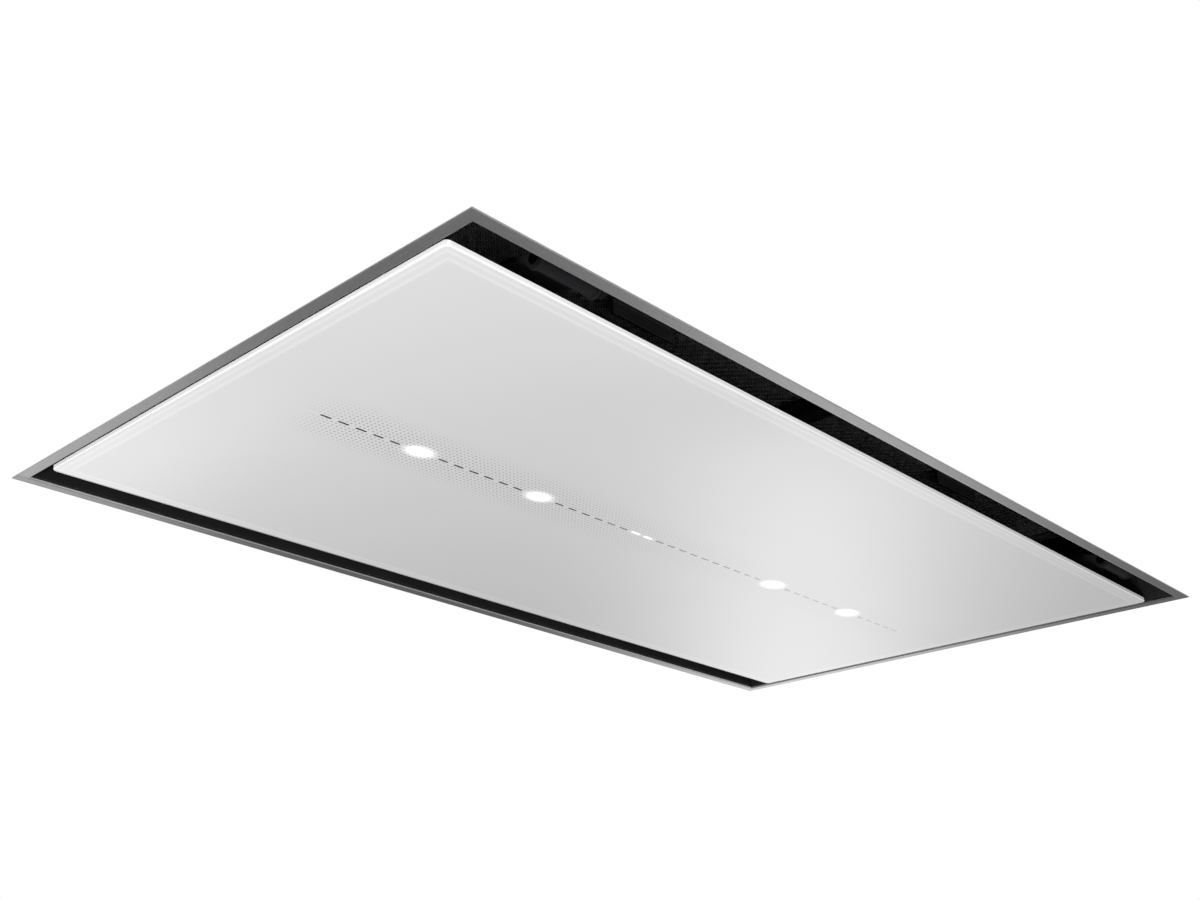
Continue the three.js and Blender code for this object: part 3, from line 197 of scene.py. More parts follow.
class Shader:
    """The nodes of one material or of the world."""

    def __init__(self, tree: bpy.types.NodeTree) -> None:
        """Empties the tree that this draws in."""
        tree.nodes.clear()
        self.tree = tree

    def node(
        self,
        kind: str,
        settings: Mapping[str, Setting] | None = None,
        sockets: Mapping[str | int, SocketValue] | None = None,
        output: str | int = 0,
    ) -> Field:
        """Adds any node.

        Args:
            kind: The node's Blender type.
            settings: The node's own properties, which are set first.
            sockets: A value or a link for each named or numbered input.
            output: The output that is handed back.

        Returns:
            The chosen output.
        """
        made = self.tree.nodes.new(kind)
        for name, setting in (settings or {}).items():
            setattr(made, name, setting)
        for name, value in (sockets or {}).items():
            target = made.inputs[name]
            if isinstance(value, Field):
                self.tree.links.new(value.socket, target)
            elif target.type == "RGBA":
                target.default_value = (*value, 1.0)
            else:
                target.default_value = value
        return Field(self, made.outputs[output] if len(made.outputs) else None)

    def place(self) -> Field:
        """Where a point of the piece lies at rest, in millimetres."""
        spot = self.node("ShaderNodeTexCoord", output="Object")
        return self.node("ShaderNodeVectorMath", {"operation": "SCALE"}, {0: spot, "Scale": 1 / MM})

    def axes(self) -> tuple[Field, Field, Field]:
        """The three coordinates of a point at rest, in millimetres."""
        spot = self.place()
        return tuple(self.node("ShaderNodeSeparateXYZ", sockets={0: spot}, output=i) for i in range(3))

    def stretched(self, vector: Field, factors: Point) -> Field:
        """A vector with each coordinate times its own number."""
        return self.node("ShaderNodeVectorMath", {"operation": "MULTIPLY"}, {0: vector, 1: factors})

    def dot(self, vector: Field, other: Vector) -> Field:
        """The scalar product of a vector and a fixed one."""
        sockets = {0: vector, 1: tuple(other)}
        return self.node("ShaderNodeVectorMath", {"operation": "DOT_PRODUCT"}, sockets, "Value")

    def joined(self, x: Amount, y: Amount, z: Amount) -> Field:
        """A vector from three numbers."""
        return self.node("ShaderNodeCombineXYZ", sockets={0: x, 1: y, 2: z})

    def mix(self, share: Amount, start: SocketValue, end: SocketValue) -> Field:
        """A colour between two colours, as much of the second as the share."""
        return self.node("ShaderNodeMix", {"data_type": "RGBA"}, {0: share, 6: start, 7: end}, 2)

    def shaded(self, share: Amount, colour: Colour, low: float, high: float) -> Field:
        """A colour that runs between two strengths of itself."""
        dark, light = (tuple(part * level for part in colour) for level in (low, high))
        return self.mix(share, dark, light)

    def noise(self, vector: Field, scale: float, detail: float = 2.0) -> Field:
        """Soft noise around 0.5, with the given number of cells in a millimetre."""
        return self.node("ShaderNodeTexNoise", sockets={"Vector": vector, "Scale": scale, "Detail": detail})

    def bump(self, height: Field, distance: float) -> Field:
        """A normal from a height that varies by 1 over the given millimetres."""
        sockets = {"Height": height, "Distance": distance * MM, "Strength": 1.0}
        return self.node("ShaderNodeBump", sockets=sockets)


# ---------------------------------------------------------------- finishes


@dataclass(frozen=True)
class Finish:
    """What a surface is made of.

    Attributes:
        name: The material's name.
        slot: The record's material slot that it belongs to.
        colour: Its linear base colour.
        roughness: How rough it is on average.
    """

    name: str
    slot: str
    colour: Colour
    roughness: float

    def sockets(self, shader: Shader) -> Sockets:
        """Draws the pattern and gives the surface shader's sockets."""
        raise NotImplementedError

    def material(self) -> bpy.types.Material:
        """Makes the Blender material when it is first asked for.

        Returns:
            The finish's one material.
        """
        found = bpy.data.materials.get(self.name)
        if found is not None:
            return found
        made = bpy.data.materials.new(self.name)
        made.use_nodes = True
        shader = Shader(made.node_tree)
        surface = shader.node("ShaderNodeBsdfPrincipled", sockets=self.sockets(shader))
        shader.node("ShaderNodeOutputMaterial", sockets={"Surface": surface})
        return made


@dataclass(frozen=True)
class BrushedSteel(Finish):
    """Stainless sheet with fine drawn lines along each side of the trim.

    Attributes:
        half_length: Half the trim's length.
        half_depth: Half the trim's depth.
        face: How wide the trim's face is at most.
        far_fade: Where the sheen of the far side ends, along x.
        far_rise: Where it comes back.
        near_rise: Where the near side turns darker, along x.
        left_rise: Where the left end turns brighter, along y.
        right_rise: Where the right end turns brighter, along y.
    """

    half_length: float = 450.0
    half_depth: float = 250.0
    face: float = 10.0
    far_fade: Pair = (-400.0, -200.0)
    far_rise: Pair = (0.0, 400.0)
    near_rise: Pair = (60.0, 400.0)
    left_rise: Pair = (-110.0, 80.0)
    right_rise: Pair = (-240.0, 60.0)

    def sheen(self, x: Field, y: Field) -> Field:
        """How the drawn lines of each side catch more or less light from end to end.

        Args:
            x: The place along the hood.
            y: The place across it.

        Returns:
            What each place adds to the sheet's tone.
        """
        far_side, near_side = y > self.half_depth - self.face, y < self.face - self.half_depth
        right_end, left_end = x > self.half_length - self.face, x < self.face - self.half_length
        far = (1.0 - x.beyond(*self.far_fade)) * 0.34 + x.beyond(*self.far_rise) * 0.38 - 0.27
        near = x.beyond(*self.near_rise) * -0.25
        left = y.beyond(*self.left_rise) * 0.27
        right = y.beyond(*self.right_rise) * 0.39 - 0.33
        ends = left_end * left + right_end * right
        sides = far_side * far + near_side * near
        return ends * (1.0 - far_side.most(near_side)) + sides

    def sockets(self, shader: Shader) -> Sockets:
        """Long fine strokes vary the colour, the roughness and the surface.

        Args:
            shader: The material's nodes.

        Returns:
            The surface shader's sockets.
        """
        x, y, z = shader.axes()
        long_side = (self.half_depth - y.absolute()) < (self.half_length - x.absolute())
        along = y + long_side * (x - y)
        across = x + long_side * (y - x)
        strokes = shader.noise(shader.joined(along * 0.05, across * 1.4, z * 1.4), 1.0, 4.0)
        speckle = shader.noise(shader.place(), 0.75, 1.0)
        scratches = shader.noise(shader.joined(along * 0.09, across * 14.0, z * 14.0), 1.0)
        # The tone is the drawn grain plus each side's painted sheen: painted reflection in the base colour.
        tone = (strokes + speckle) * 0.3 + 0.2 + self.sheen(x, y)
        return {
            "Base Color": shader.shaded(tone, self.colour, 0.3, 1.7),
            "Metallic": 1.0,
            "Roughness": self.roughness - 0.06 + scratches * 0.12,
            "Normal": shader.bump(scratches, 0.004),
        }


@dataclass(frozen=True)
class PowderCoat(Finish):
    """Baked powder paint with a slight orange peel."""

    gloss: float = 0.5

    def sockets(self, shader: Shader) -> Sockets:
        """A fine peel in the surface and soft patches in its gloss.

        Args:
            shader: The material's nodes.

        Returns:
            The surface shader's sockets.
        """
        spot = shader.place()
        peel = shader.noise(spot, 1.1, 1.0)
        patches = shader.noise(spot, 0.03, 3.0)
        return {
            "Base Color": shader.shaded(patches, self.colour, 0.8, 1.2),
            "Roughness": self.roughness - 0.08 + patches * 0.16,
            "Specular IOR Level": self.gloss,
            "Normal": shader.bump(peel, 0.02),
        }


@dataclass(frozen=True)
class Galvanised(Finish):
    """Hot-dip zinc on steel sheet, with its frosty spangle."""

    spangle: float = 0.17

    def sockets(self, shader: Shader) -> Sockets:
        """Each crystal has its own tone and gloss, and frost lies over them.

        Args:
            shader: The material's nodes.

        Returns:
            The surface shader's sockets.
        """
        spot = shader.place()
        cells = {"Vector": spot, "Scale": self.spangle}
        crystals = shader.node("ShaderNodeTexVoronoi", sockets=cells, output="Color")
        tone = shader.node("ShaderNodeSeparateColor", sockets={0: crystals})
        gloss = shader.node("ShaderNodeSeparateColor", sockets={0: crystals}, output=1)
        frost = shader.noise(spot, 0.6, 3.0)
        return {
            "Base Color": shader.shaded(tone * 0.6 + frost * 0.4, self.colour, 0.9, 1.06),
            "Metallic": 0.9,
            "Roughness": self.roughness - 0.04 + gloss * 0.06 + frost * 0.06,
            "Normal": shader.bump(frost, 0.006),
        }


@dataclass(frozen=True)
class ZincPlate(Finish):
    """Passivated zinc plating on small steel parts."""

    warm: Colour = (1.06, 1.02, 0.9)
    cool: Colour = (0.9, 0.95, 1.02)

    def sockets(self, shader: Shader) -> Sockets:
        """Soft clouds between a bluish and a warmer tone.

        Args:
            shader: The material's nodes.

        Returns:
            The surface shader's sockets.
        """
        spot = shader.place()
        clouds = shader.noise(spot, 0.12, 3.0)
        cool = tuple(part * tint for part, tint in zip(self.colour, self.cool))
        warm = tuple(part * tint for part, tint in zip(self.colour, self.warm))
        return {
            "Base Color": shader.mix(clouds, cool, warm),
            "Metallic": 1.0,
            "Roughness": self.roughness - 0.07 + clouds * 0.14,
            "Normal": shader.bump(shader.noise(spot, 1.6), 0.008),
        }


@dataclass(frozen=True)
class RolledAluminium(Finish):
    """Mill-finished aluminium with faint rolling lines."""

    def sockets(self, shader: Shader) -> Sockets:
        """Rolling lines along x and a light oxide bloom.

        Args:
            shader: The material's nodes.

        Returns:
            The surface shader's sockets.
        """
        spot = shader.place()
        lines = shader.noise(shader.stretched(spot, (0.03, 2.2, 2.2)), 1.0, 3.0)
        bloom = shader.noise(spot, 0.05, 3.0)
        return {
            "Base Color": shader.shaded(bloom, self.colour, 0.88, 1.1),
            "Metallic": 1.0,
            "Roughness": self.roughness - 0.08 + lines * 0.1 + bloom * 0.06,
            "Normal": shader.bump(lines, 0.006),
        }


@dataclass(frozen=True)
class KnittedMesh(Finish):
    """Layers of fine aluminium wire mesh, pressed into a pleated pad."""

    pitch: float = 2.4

    def sockets(self, shader: Shader) -> Sockets:
        """Two crossing sets of wires with dark openings between them.

        Args:
            shader: The material's nodes.

        Returns:
            The surface shader's sockets.
        """
        x, y, _ = shader.axes()
        rising, falling = ((place / self.pitch).cell().absolute() for place in (x + y, x - y))
        wire = 1.0 - rising.least(falling).beyond(0.1, 0.22)
        # Painted shade: the openings are painted at half the wires' brightness, where one looks into the pad.
        return {
            "Base Color": shader.shaded(wire, self.colour, 0.5, 1.0),
            "Metallic": 0.3,
            "Roughness": self.roughness,
            "Normal": shader.bump(wire, 0.25),
        }


@dataclass(frozen=True)
class MouldedPlastic(Finish):
    """Injection-moulded plastic with a spark-eroded grain."""

    def sockets(self, shader: Shader) -> Sockets:
        """A fine even grain and slight flow marks.

        Args:
            shader: The material's nodes.

        Returns:
            The surface shader's sockets.
        """
        spot = shader.place()
        grain = shader.noise(spot, 2.2, 2.0)
        flow = shader.noise(spot, 0.04, 2.0)
        return {
            "Base Color": shader.shaded(flow, self.colour, 0.92, 1.08),
            "Roughness": self.roughness - 0.06 + grain * 0.12,
            "Normal": shader.bump(grain, 0.02),
        }


@dataclass(frozen=True)
class EnamelledGlass(Finish):
    """White glass panel: enamelled behind, with a printed dot screen round its line of dashes.

    Attributes:
        half_length: Half the panel's length.
        half_depth: Half the panel's depth.
        lamps: Distances of the lamps from the panel's middle, along its line.
        window: Half the length and half the depth of a lamp's bright window.
        lit_marks: The places of the lit dashes along the line.
        pitch: The spacing of the printed dots.
        dot_radius: The radius of the dots nearest the line.
        dot_shrink: How much of it they lose in each millimetre away from the line.
        dot_gap: Where the dots begin beside the line.
        dot_spread: Where they fade away from it.
        dots_start: Where they begin along the line.
        dots_fade: Where they grow paler along it.
        border: Where the paler border ends, in from the edge.
        lines: Place and width of the border's two fine lines.
        edge: The colour of the bright rim.
        shade: The colour of the rim on the far side.
        ink: The colour of the dots.
    """

    half_length: float = 436.5
    half_depth: float = 215.6
    lamps: Pair = (149.5, 269.1)
    window: Pair = (9.8, 7.0)
    lit_marks: Pair = (-37.4, -22.4)
    pitch: float = 3.7375
    dot_radius: float = 0.78
    dot_shrink: float = 0.006
    dot_gap: Pair = (1.6, 2.4)
    dot_spread: Pair = (16.0, 42.0)
    dots_start: Pair = (-385.0, -325.0)
    dots_fade: Pair = (-330.0, 140.0)
    border: Pair = (9.0, 14.0)
    lines: tuple[Pair, Pair] = ((4.2, 1.1), (10.2, 1.2))
    edge: Colour = (0.95, 0.955, 0.96)
    shade: Colour = (0.2, 0.215, 0.215)
    ink: Colour = (0.2, 0.2, 0.21)

    def dots(self, x: Field, y: Field) -> Field:
        """How much ink a point has: round dots that shrink and fade away from the line.

        Args:
            x: The place along the line.
            y: The place across it.

        Returns:
            The share of ink, from 0 to 1.
        """
        spread = y.absolute()
        reach = x.repeated(self.pitch).reach(y.repeated(self.pitch))
        dot = 1.0 - (reach - (self.dot_radius - spread * self.dot_shrink)).beyond(-0.2, 0.2)
        sides = x.beyond(*self.dots_start) * (1.0 - x.beyond(*self.dots_fade) * 0.68)
        return dot * spread.beyond(*self.dot_gap) * (1.0 - spread.beyond(*self.dot_spread)) * sides

    def glow(self, x: Field, y: Field) -> Field:
        """Light that spreads in the glass round the lamps and the lit dashes.

        Args:
            x: The place along the line.
            y: The place across it.

        Returns:
            The strength of the light.
        """
        halo = y * 0.0
        for lamp in self.lamps:
            reach = ((x.absolute() - lamp) / self.window[0]).reach(y / self.window[1])
            halo = halo + (1.0 - reach.beyond(0.8, 1.75)) * 0.38 + (1.0 - reach.beyond(1.0, 2.6)) * 0.03
        for mark in self.lit_marks:
            reach = ((x - mark) / 2.2).reach(y)
            halo = halo + (1.0 - reach.beyond(1.0, 6.0)) * 0.06
        return halo

    def sockets(self, shader: Shader) -> Sockets:
        """Enamel with a paler border of two fine lines, a bright rim, the dots and the halo.

        Args:
            shader: The material's nodes.

        Returns:
            The surface shader's sockets.
        """
        x, y, z = shader.axes()
        inset = (self.half_length - x.absolute()).least(self.half_depth - y.absolute())
        # Painted light: a paler border and two fine bright lines along the glass edge, in place of the light
        # that the glass edge throws back.
        border = 1.0 - inset.beyond(*self.border)
        outer, inner = ((((inset - place) / width) ** 2.0).fading() for place, width in self.lines)
        side = z.beyond(-1.3, -0.7)
        short = x.absolute() > self.half_length - 1.3
        # Painted glow: the side faces emit a little light, more towards -x and less on the short ends, in
        # place of the light that the glass edge picks up.
        painted_side_glow = side * (0.3 - x * 0.0004) * (1.0 - short * 0.7)
        # Painted highlight: the rim and the side faces are painted towards the bright edge colour, except on
        # the short ends.
        rim = (1.0 - inset.beyond(0.2, 1.2)).most(side) * (0.3 - short * 0.3)
        cloud = shader.noise(shader.place(), 0.012, 2.0)
        plain = shader.shaded(cloud, self.colour, 0.985, 1.015)
        bright = shader.mix((border * 0.07 + (outer + inner) * 0.15).most(rim), plain, self.edge)
        # Painted shade: a dark band along the far rim, in place of the dark gap seen through the glass's side
        # face.
        far = (1.0 - (self.half_depth - y).beyond(2.4, 3.6)) * 0.5
        shown = shader.mix(far, bright, self.shade)
        return {
            "Base Color": shader.mix(self.dots(x, y) * 0.85, shown, self.ink),
            "Roughness": self.roughness + cloud * 0.01,
            "IOR": 1.5,
            "Emission Color": self.glow(x, y) + painted_side_glow,
            "Emission Strength": 1.0,
        }


@dataclass(frozen=True)
class PrintedInk(Finish):
    """Ceramic ink printed on the glass, which covers less and less along the line."""

    fade: Pair = (-230.0, 260.0)

    def sockets(self, shader: Shader) -> Sockets:
        """Slightly uneven cover that lets the white through towards +x.

        Args:
            shader: The material's nodes.

        Returns:
            The surface shader's sockets.
        """
        x, _, _ = shader.axes()
        cover = shader.noise(shader.place(), 1.4, 2.0)
        ink = shader.shaded(cover, self.colour, 0.9, 1.1)
        thin = x.beyond(*self.fade) * 0.72
        return {"Base Color": shader.mix(thin, ink, WHITE_GLASS.colour), "Roughness": self.roughness}


@dataclass(frozen=True)
class LitLens(Finish):
    """Frosted lens that is lit from behind."""

    strength: float = 1.15

    def sockets(self, shader: Shader) -> Sockets:
        """A lens that is a little brighter in its frosting's grain.

        Args:
            shader: The material's nodes.

        Returns:
            The surface shader's sockets.
        """
        frosting = shader.noise(shader.place(), 0.8, 2.0)
        return {
            "Base Color": shader.shaded(frosting, self.colour, 0.96, 1.02),
            "Roughness": self.roughness,
            "Emission Color": (1.0, 1.0, 1.0),
            "Emission Strength": self.strength,
        }


@dataclass(frozen=True)
class CircuitBoard(Finish):
    """Solder resist over etched tracks."""

    track_pitch: float = 2.54
    pad_pitch: float = 7.62
    covered: Colour = (0.03, 0.17, 0.07)
    tinned: Colour = (0.55, 0.55, 0.52)

    def sockets(self, shader: Shader) -> Sockets:
        """Tracks run along x and y in turn, with round pads on a grid.

        Args:
            shader: The material's nodes.

        Returns:
            The surface shader's sockets.
        """
        x, y, _ = shader.axes()
        patch = shader.noise(shader.stretched(shader.place(), (0.08, 0.08, 0.0)), 1.0, 0.0)
        lane = (x + patch.beyond(0.49, 0.51) * (y - x)) / self.track_pitch
        track = 1.0 - lane.cell().absolute().beyond(0.14, 0.2)
        pad = 1.0 - x.repeated(self.pad_pitch).reach(y.repeated(self.pad_pitch)).beyond(0.9, 1.1)
        green = shader.mix(track * 0.5, self.colour, self.covered)
        return {
            "Base Color": shader.mix(pad, green, self.tinned),
            "Metallic": pad * 0.8,
            "Roughness": self.roughness,
            "Normal": shader.bump(track, 0.03),
        }


@dataclass(frozen=True)
class Windings(Finish):
    """Enamelled copper wire, wound round the motor's axis."""

    wire: float = 0.8

    def sockets(self, shader: Shader) -> Sockets:
        """Close turns one above the other.

        Args:
            shader: The material's nodes.

        Returns:
            The surface shader's sockets.
        """
        _, _, z = shader.axes()
        turns = (z * (2 * math.pi / self.wire)).wave()
        # Painted shade and highlight: the colour follows the turns, darker in the grooves and lighter on the
        # crests.
        return {
            "Base Color": shader.shaded(turns * 0.5 + 0.5, self.colour, 0.6, 1.1),
            "Metallic": 0.9,
            "Roughness": self.roughness,
            "Normal": shader.bump(turns, 0.2),
        }


STAINLESS = BrushedSteel("brushed_stainless", "stainless", (0.335, 0.334, 0.333), 0.3)
BLACK_PAINT = PowderCoat("black_powder_coat", "black_paint", (0.0125, 0.0127, 0.0138), 0.42)
MATT_PAINT = PowderCoat("matt_black_coat", "black_paint", (0.009, 0.009, 0.01), 0.8, 0.14)
SHEET_ZINC = Galvanised("galvanised_sheet", "galvanised", (0.52, 0.53, 0.54), 0.42)
WHITE_GLASS = EnamelledGlass("white_enamelled_glass", "white_glass", (0.605, 0.604, 0.604), 0.035)
DARK_INK = PrintedInk("dark_ink", "white_glass", (0.025, 0.025, 0.026), 0.3)
LENS = LitLens("lit_lens", "lamp_white", (0.9, 0.9, 0.9), 0.25)
ALUMINIUM = RolledAluminium("mill_aluminium", "aluminium", (0.56, 0.565, 0.57), 0.36)
WIRE_MESH = KnittedMesh("aluminium_wire_mesh", "aluminium", (0.76, 0.77, 0.79), 0.42)
ZINC = ZincPlate("zinc_plate", "zinc", (0.6, 0.61, 0.62), 0.3)
BLACK_ZINC = ZincPlate("black_zinc_plate", "zinc", (0.03, 0.031, 0.034), 0.38)
DULL_ZINC = ZincPlate("dull_zinc_plate", "zinc", (0.13, 0.131, 0.135), 0.42)
RIVET_METAL = ZincPlate("rivet_metal", "zinc", (0.48, 0.49, 0.5), 0.4)
BLACK_PLASTIC = MouldedPlastic("black_moulding", "black_plastic", (0.014, 0.0145, 0.015), 0.5)
GREY_PLASTIC = MouldedPlastic("grey_moulding", "grey_plastic", (0.27, 0.272, 0.275), 0.55)
WHITE_PLASTIC = MouldedPlastic("white_plastic", "lamp_white", (0.75, 0.76, 0.76), 0.45)
FOAM = MouldedPlastic("black_foam", "black_plastic", (0.01, 0.01, 0.011), 0.85)
BOARD = CircuitBoard("circuit_board", "board_green", (0.012, 0.09, 0.035), 0.35)
MOTOR_PAINT = PowderCoat("motor_paint", "motor_steel", (0.035, 0.038, 0.042), 0.35)
COPPER = Windings("copper_windings", "motor_steel", (0.62, 0.2, 0.08), 0.35)


# ---------------------------------------------------------------- drawing


class Axis(Enum):
    """The axis that a shape stands on."""

    X = "x"
    Y = "y"
    Z = "z"

    def point(self, u: float, v: float, w: float) -> Point:
        """The point at (u, v) across the axis and w along it."""
        return {Axis.X: (w, u, v), Axis.Y: (u, w, v), Axis.Z: (u, v, w)}[self]

    def split(self, spot: Point) -> Point:
        """A point's two coordinates across the axis, then the one along it."""
        x, y, z = spot
        return {Axis.X: (y, z, x), Axis.Y: (x, z, y), Axis.Z: (x, y, z)}[self]


@dataclass(frozen=True)
class Pressing:
    """A stiffening bead, a long low mound pressed out of a sheet.

    Attributes:
        half_u: Half its extent along the first direction across the sheet's normal.
        half_v: Half its extent along the second.
        height: How far it stands out.
    """

    half_u: float
    half_v: float
    height: float


def arc(centre: Pair, radius: float, start: float, end: float, steps: int) -> list[Pair]:
    """Points of an arc.

    Args:
        centre: The arc's centre.
        radius: Its radius.
        start: The angle of its first point, in degrees.
        end: The angle of its last point.
        steps: How many chords it has.

    Returns:
        The points in order, both ends included.
    """
    turns = [math.radians(start + (end - start) * i / steps) for i in range(steps + 1)]
    return [(centre[0] + radius * math.cos(t), centre[1] + radius * math.sin(t)) for t in turns]


def circle(centre: Pair, radius: float, steps: int) -> list[Pair]:
    """Points round a circle."""
    return arc(centre, radius, 0.0, 360.0, steps)[:-1]


def rounded(half_x: float, half_y: float, radius: float, steps: int, middle: Pair = (0.0, 0.0)) -> list[Pair]:
    """Points round a rectangle with rounded corners.

    Args:
        half_x: Half its length.
        half_y: Half its depth.
        radius: The radius of its corners.
        steps: The chords of each corner.
        middle: Its middle.

    Returns:
        The points, anticlockwise from the corner in the first quadrant.
    """
    points: list[Pair] = []
    for i, (side_x, side_y) in enumerate(((1, 1), (-1, 1), (-1, -1), (1, -1))):
        corner = (middle[0] + side_x * (half_x - radius), middle[1] + side_y * (half_y - radius))
        points += arc(corner, radius, 90.0 * i, 90.0 * (i + 1), steps)
    return points


def spaced(pitch: float, count: int) -> list[float]:
    """Evenly spaced places that are centred on 0."""
    return [pitch * (i - (count - 1) / 2) for i in range(count)]


def border(edge: Pair, along: Sequence[float], across: Sequence[float], level: float) -> list[Point]:
    """Spots on the four sides of a level rectangle.

    Args:
        edge: Half the rectangle's length and half its depth.
        along: The places on both long sides.
        across: The places on both short sides.
        level: The rectangle's height.

    Returns:
        The spots, long sides first.
    """
    half_x, half_y = edge
    spots = [(x, sign * half_y, level) for sign in SIGNS for x in along]
    spots += [(sign * half_x, y, level) for sign in SIGNS for y in across]
    return spots


class Draft:
    """The mesh of a piece while it is drawn, in millimetres.

    The heads of screws and rivets and the mound of a bead are given as levels: each has a share
    of the radius (for a bead, of its half width, measured inwards) and a share of the height.
    """

    PAN_HEAD: Outline = ((1.0, 0.0), (1.0, 0.5), (0.88, 0.86), (0.7, 1.0), (0.575, 1.0))
    SOCKET_SHARE = 0.5
    SOCKET_LEVELS: Pair = (0.94, 0.35)
    RIVET_HEAD: Outline = ((1.0, 0.0), (0.98, 0.3), (0.82, 0.7), (0.55, 0.96), (0.34, 1.0), (0.28, 0.6))
    BEAD_MOUND: Outline = ((0.0, 0.0), (0.1, 0.28), (0.28, 0.72), (0.5, 0.97), (0.62, 1.0))
    BOLT_HEAD: Outline = ((1.0, 0.3), (1.0, 0.86), (0.86, 1.0))
    WASHER: Outline = ((1.2, 0.0), (1.2, 0.3))

    def __init__(self) -> None:
        """Starts with no faces."""
        self.points: list[Point] = []
        self.faces: list[list[int]] = []

    def loft(self, loops: Sequence[Loop], cyclic: bool = False) -> "Draft":
        """Skins loops of equal count in their order.

        Args:
            loops: Closed loops of points.
            cyclic: Whether the last loop joins the first; the ends are capped otherwise.

        Returns:
            The draft, so that calls can follow each other.
        """
        start, count, rows = len(self.points), len(loops[0]), len(loops)
        for loop in loops:
            self.points.extend(loop)
        for row in range(rows if cyclic else rows - 1):
            here, there = start + row * count, start + (row + 1) % rows * count
            for i in range(count):
                j = (i + 1) % count
                self.faces.append([here + i, here + j, there + j, there + i])
        if not cyclic:
            self.faces.append([start + i for i in reversed(range(count))])
            self.faces.append([start + (rows - 1) * count + i for i in range(count)])
        return self

    def stacked(
        self, outlines: Sequence[tuple[Outline, float]], axis: Axis = Axis.Z, cyclic: bool = False
    ) -> "Draft":
        """Skins outlines that lie across an axis, each at its own place along it."""
        return self.loft([[axis.point(u, v, w) for u, v in outline] for outline, w in outlines], cyclic)

    def prism(self, outline: Outline, foot: float, top: float) -> "Draft":
        """Adds an outline drawn out from one height to another."""
        return self.stacked([(outline, foot), (outline, top)])

    def stepped(
        self, steps: Outline, halves: Pair, corner: float, chords: int, middle: Pair = (0.0, 0.0)
    ) -> "Draft":
        """Adds a rounded plate whose edge follows steps.

        Args:
            steps: Pairs of how far the edge stands in and a height.
            halves: Half the plate's length and half its depth.
            corner: The radius of its corners.
            chords: The chords of each corner.
            middle: The plate's middle.

        Returns:
            The draft.
        """
        half_x, half_y = halves
        outlines = []
        for inset, z in steps:
            radius = max(corner - inset, 1.0)
            outlines.append((rounded(half_x - inset, half_y - inset, radius, chords, middle), z))
        return self.stacked(outlines)

    def turned(
        self, profile: Outline, centre: Pair, steps: int = 48, axis: Axis = Axis.Z, hollow: bool = False
    ) -> "Draft":
        """Adds a turned shape.

        Args:
            profile: Pairs of a radius and a place along the axis.
            centre: Where the axis stands across itself.
            steps: The chords of a turn.
            axis: The direction of the axis.
            hollow: Whether the profile is a closed ring round the axis.

        Returns:
            The draft.
        """
        return self.stacked([(circle(centre, radius, steps), w) for radius, w in profile], axis, hollow)

    def mitred(self, profile: Outline, half_x: float, half_y: float) -> "Draft":
        """Adds a closed profile carried round a rectangle.

        Args:
            profile: Pairs of an offset outwards and a height.
            half_x: Half the rectangle's length.
            half_y: Half its depth.

        Returns:
            The draft.
        """
        corners = ((1, -1), (1, 1), (-1, 1), (-1, -1))
        loops = [[(a * (half_x + out), b * (half_y + out), z) for out, z in profile] for a, b in corners]
        return self.loft(loops, cyclic=True)

    def screw(self, spot: Point, radius: float, height: float, axis: Axis = Axis.Z, side: int = 1) -> "Draft":
        """Adds a pan head with a hexagon socket.

        Args:
            spot: The middle of the head's seat.
            radius: The head's radius.
            height: How far it stands out.
            axis: The screw's axis.
            side: 1 where the head points up the axis, -1 where it points down.

        Returns:
            The draft.
        """
        u, v, w = axis.split(spot)
        steps, sixth = 24, math.pi / 3
        outlines = [(circle((u, v), radius * share, steps), level) for share, level in self.PAN_HEAD]
        hexagon = []
        for turn in (2 * math.pi * i / steps for i in range(steps)):
            reach = radius * self.SOCKET_SHARE * math.cos(sixth / 2) / math.cos(turn % sixth - sixth / 2)
            hexagon.append((u + reach * math.cos(turn), v + reach * math.sin(turn)))
        outlines += [(hexagon, level) for level in self.SOCKET_LEVELS]
        return self.stacked([(outline, w + side * height * level) for outline, level in outlines], axis)

    def rivet(self, spot: Point, radius: float, height: float, axis: Axis = Axis.Z, side: int = 1) -> "Draft":
        """Adds a domed blind rivet with the small pit of its drawn stem.

        Args:
            spot: The middle of the head's seat.
            radius: The head's radius.
            height: How far it stands out.
            axis: The rivet's axis.
            side: 1 where the head points up the axis, -1 where it points down.

        Returns:
            The draft.
        """
        u, v, w = axis.split(spot)
        profile = [(radius * share, w + side * height * level) for share, level in self.RIVET_HEAD]
        return self.turned(profile, (u, v), 16, axis)

    def bolt(self, spot: Point, radius: float, height: float) -> "Draft":
        """Adds a hexagon head on a washer, which point up.

        Args:
            spot: The middle of the washer's seat.
            radius: The hexagon's outer radius.
            height: How far both stand out.

        Returns:
            The draft.
        """
        x, y, z = spot
        for levels, steps in ((self.WASHER, 24), (self.BOLT_HEAD, 6)):
            self.turned([(radius * share, z + height * level) for share, level in levels], (x, y), steps)
        return self

    def beads(self, spots: Sequence[Point], form: Pressing, axis: Axis = Axis.Z, side: int = 1) -> "Draft":
        """Adds stiffening beads of one form.

        Args:
            spots: The middle of each bead on the sheet.
            form: Their form.
            axis: The sheet's normal.
            side: 1 where they stand out up the axis, -1 where down.

        Returns:
            The draft.
        """
        narrow = min(form.half_u, form.half_v)
        for u, v, w in map(axis.split, spots):
            outlines = []
            for share, level in self.BEAD_MOUND:
                inset = narrow * share
                halves = form.half_u - inset, form.half_v - inset
                outline = rounded(*halves, (narrow - inset) * 0.96, 6, (u, v))
                outlines.append((outline, w + side * form.height * level))
            self.stacked(outlines, axis)
        return self

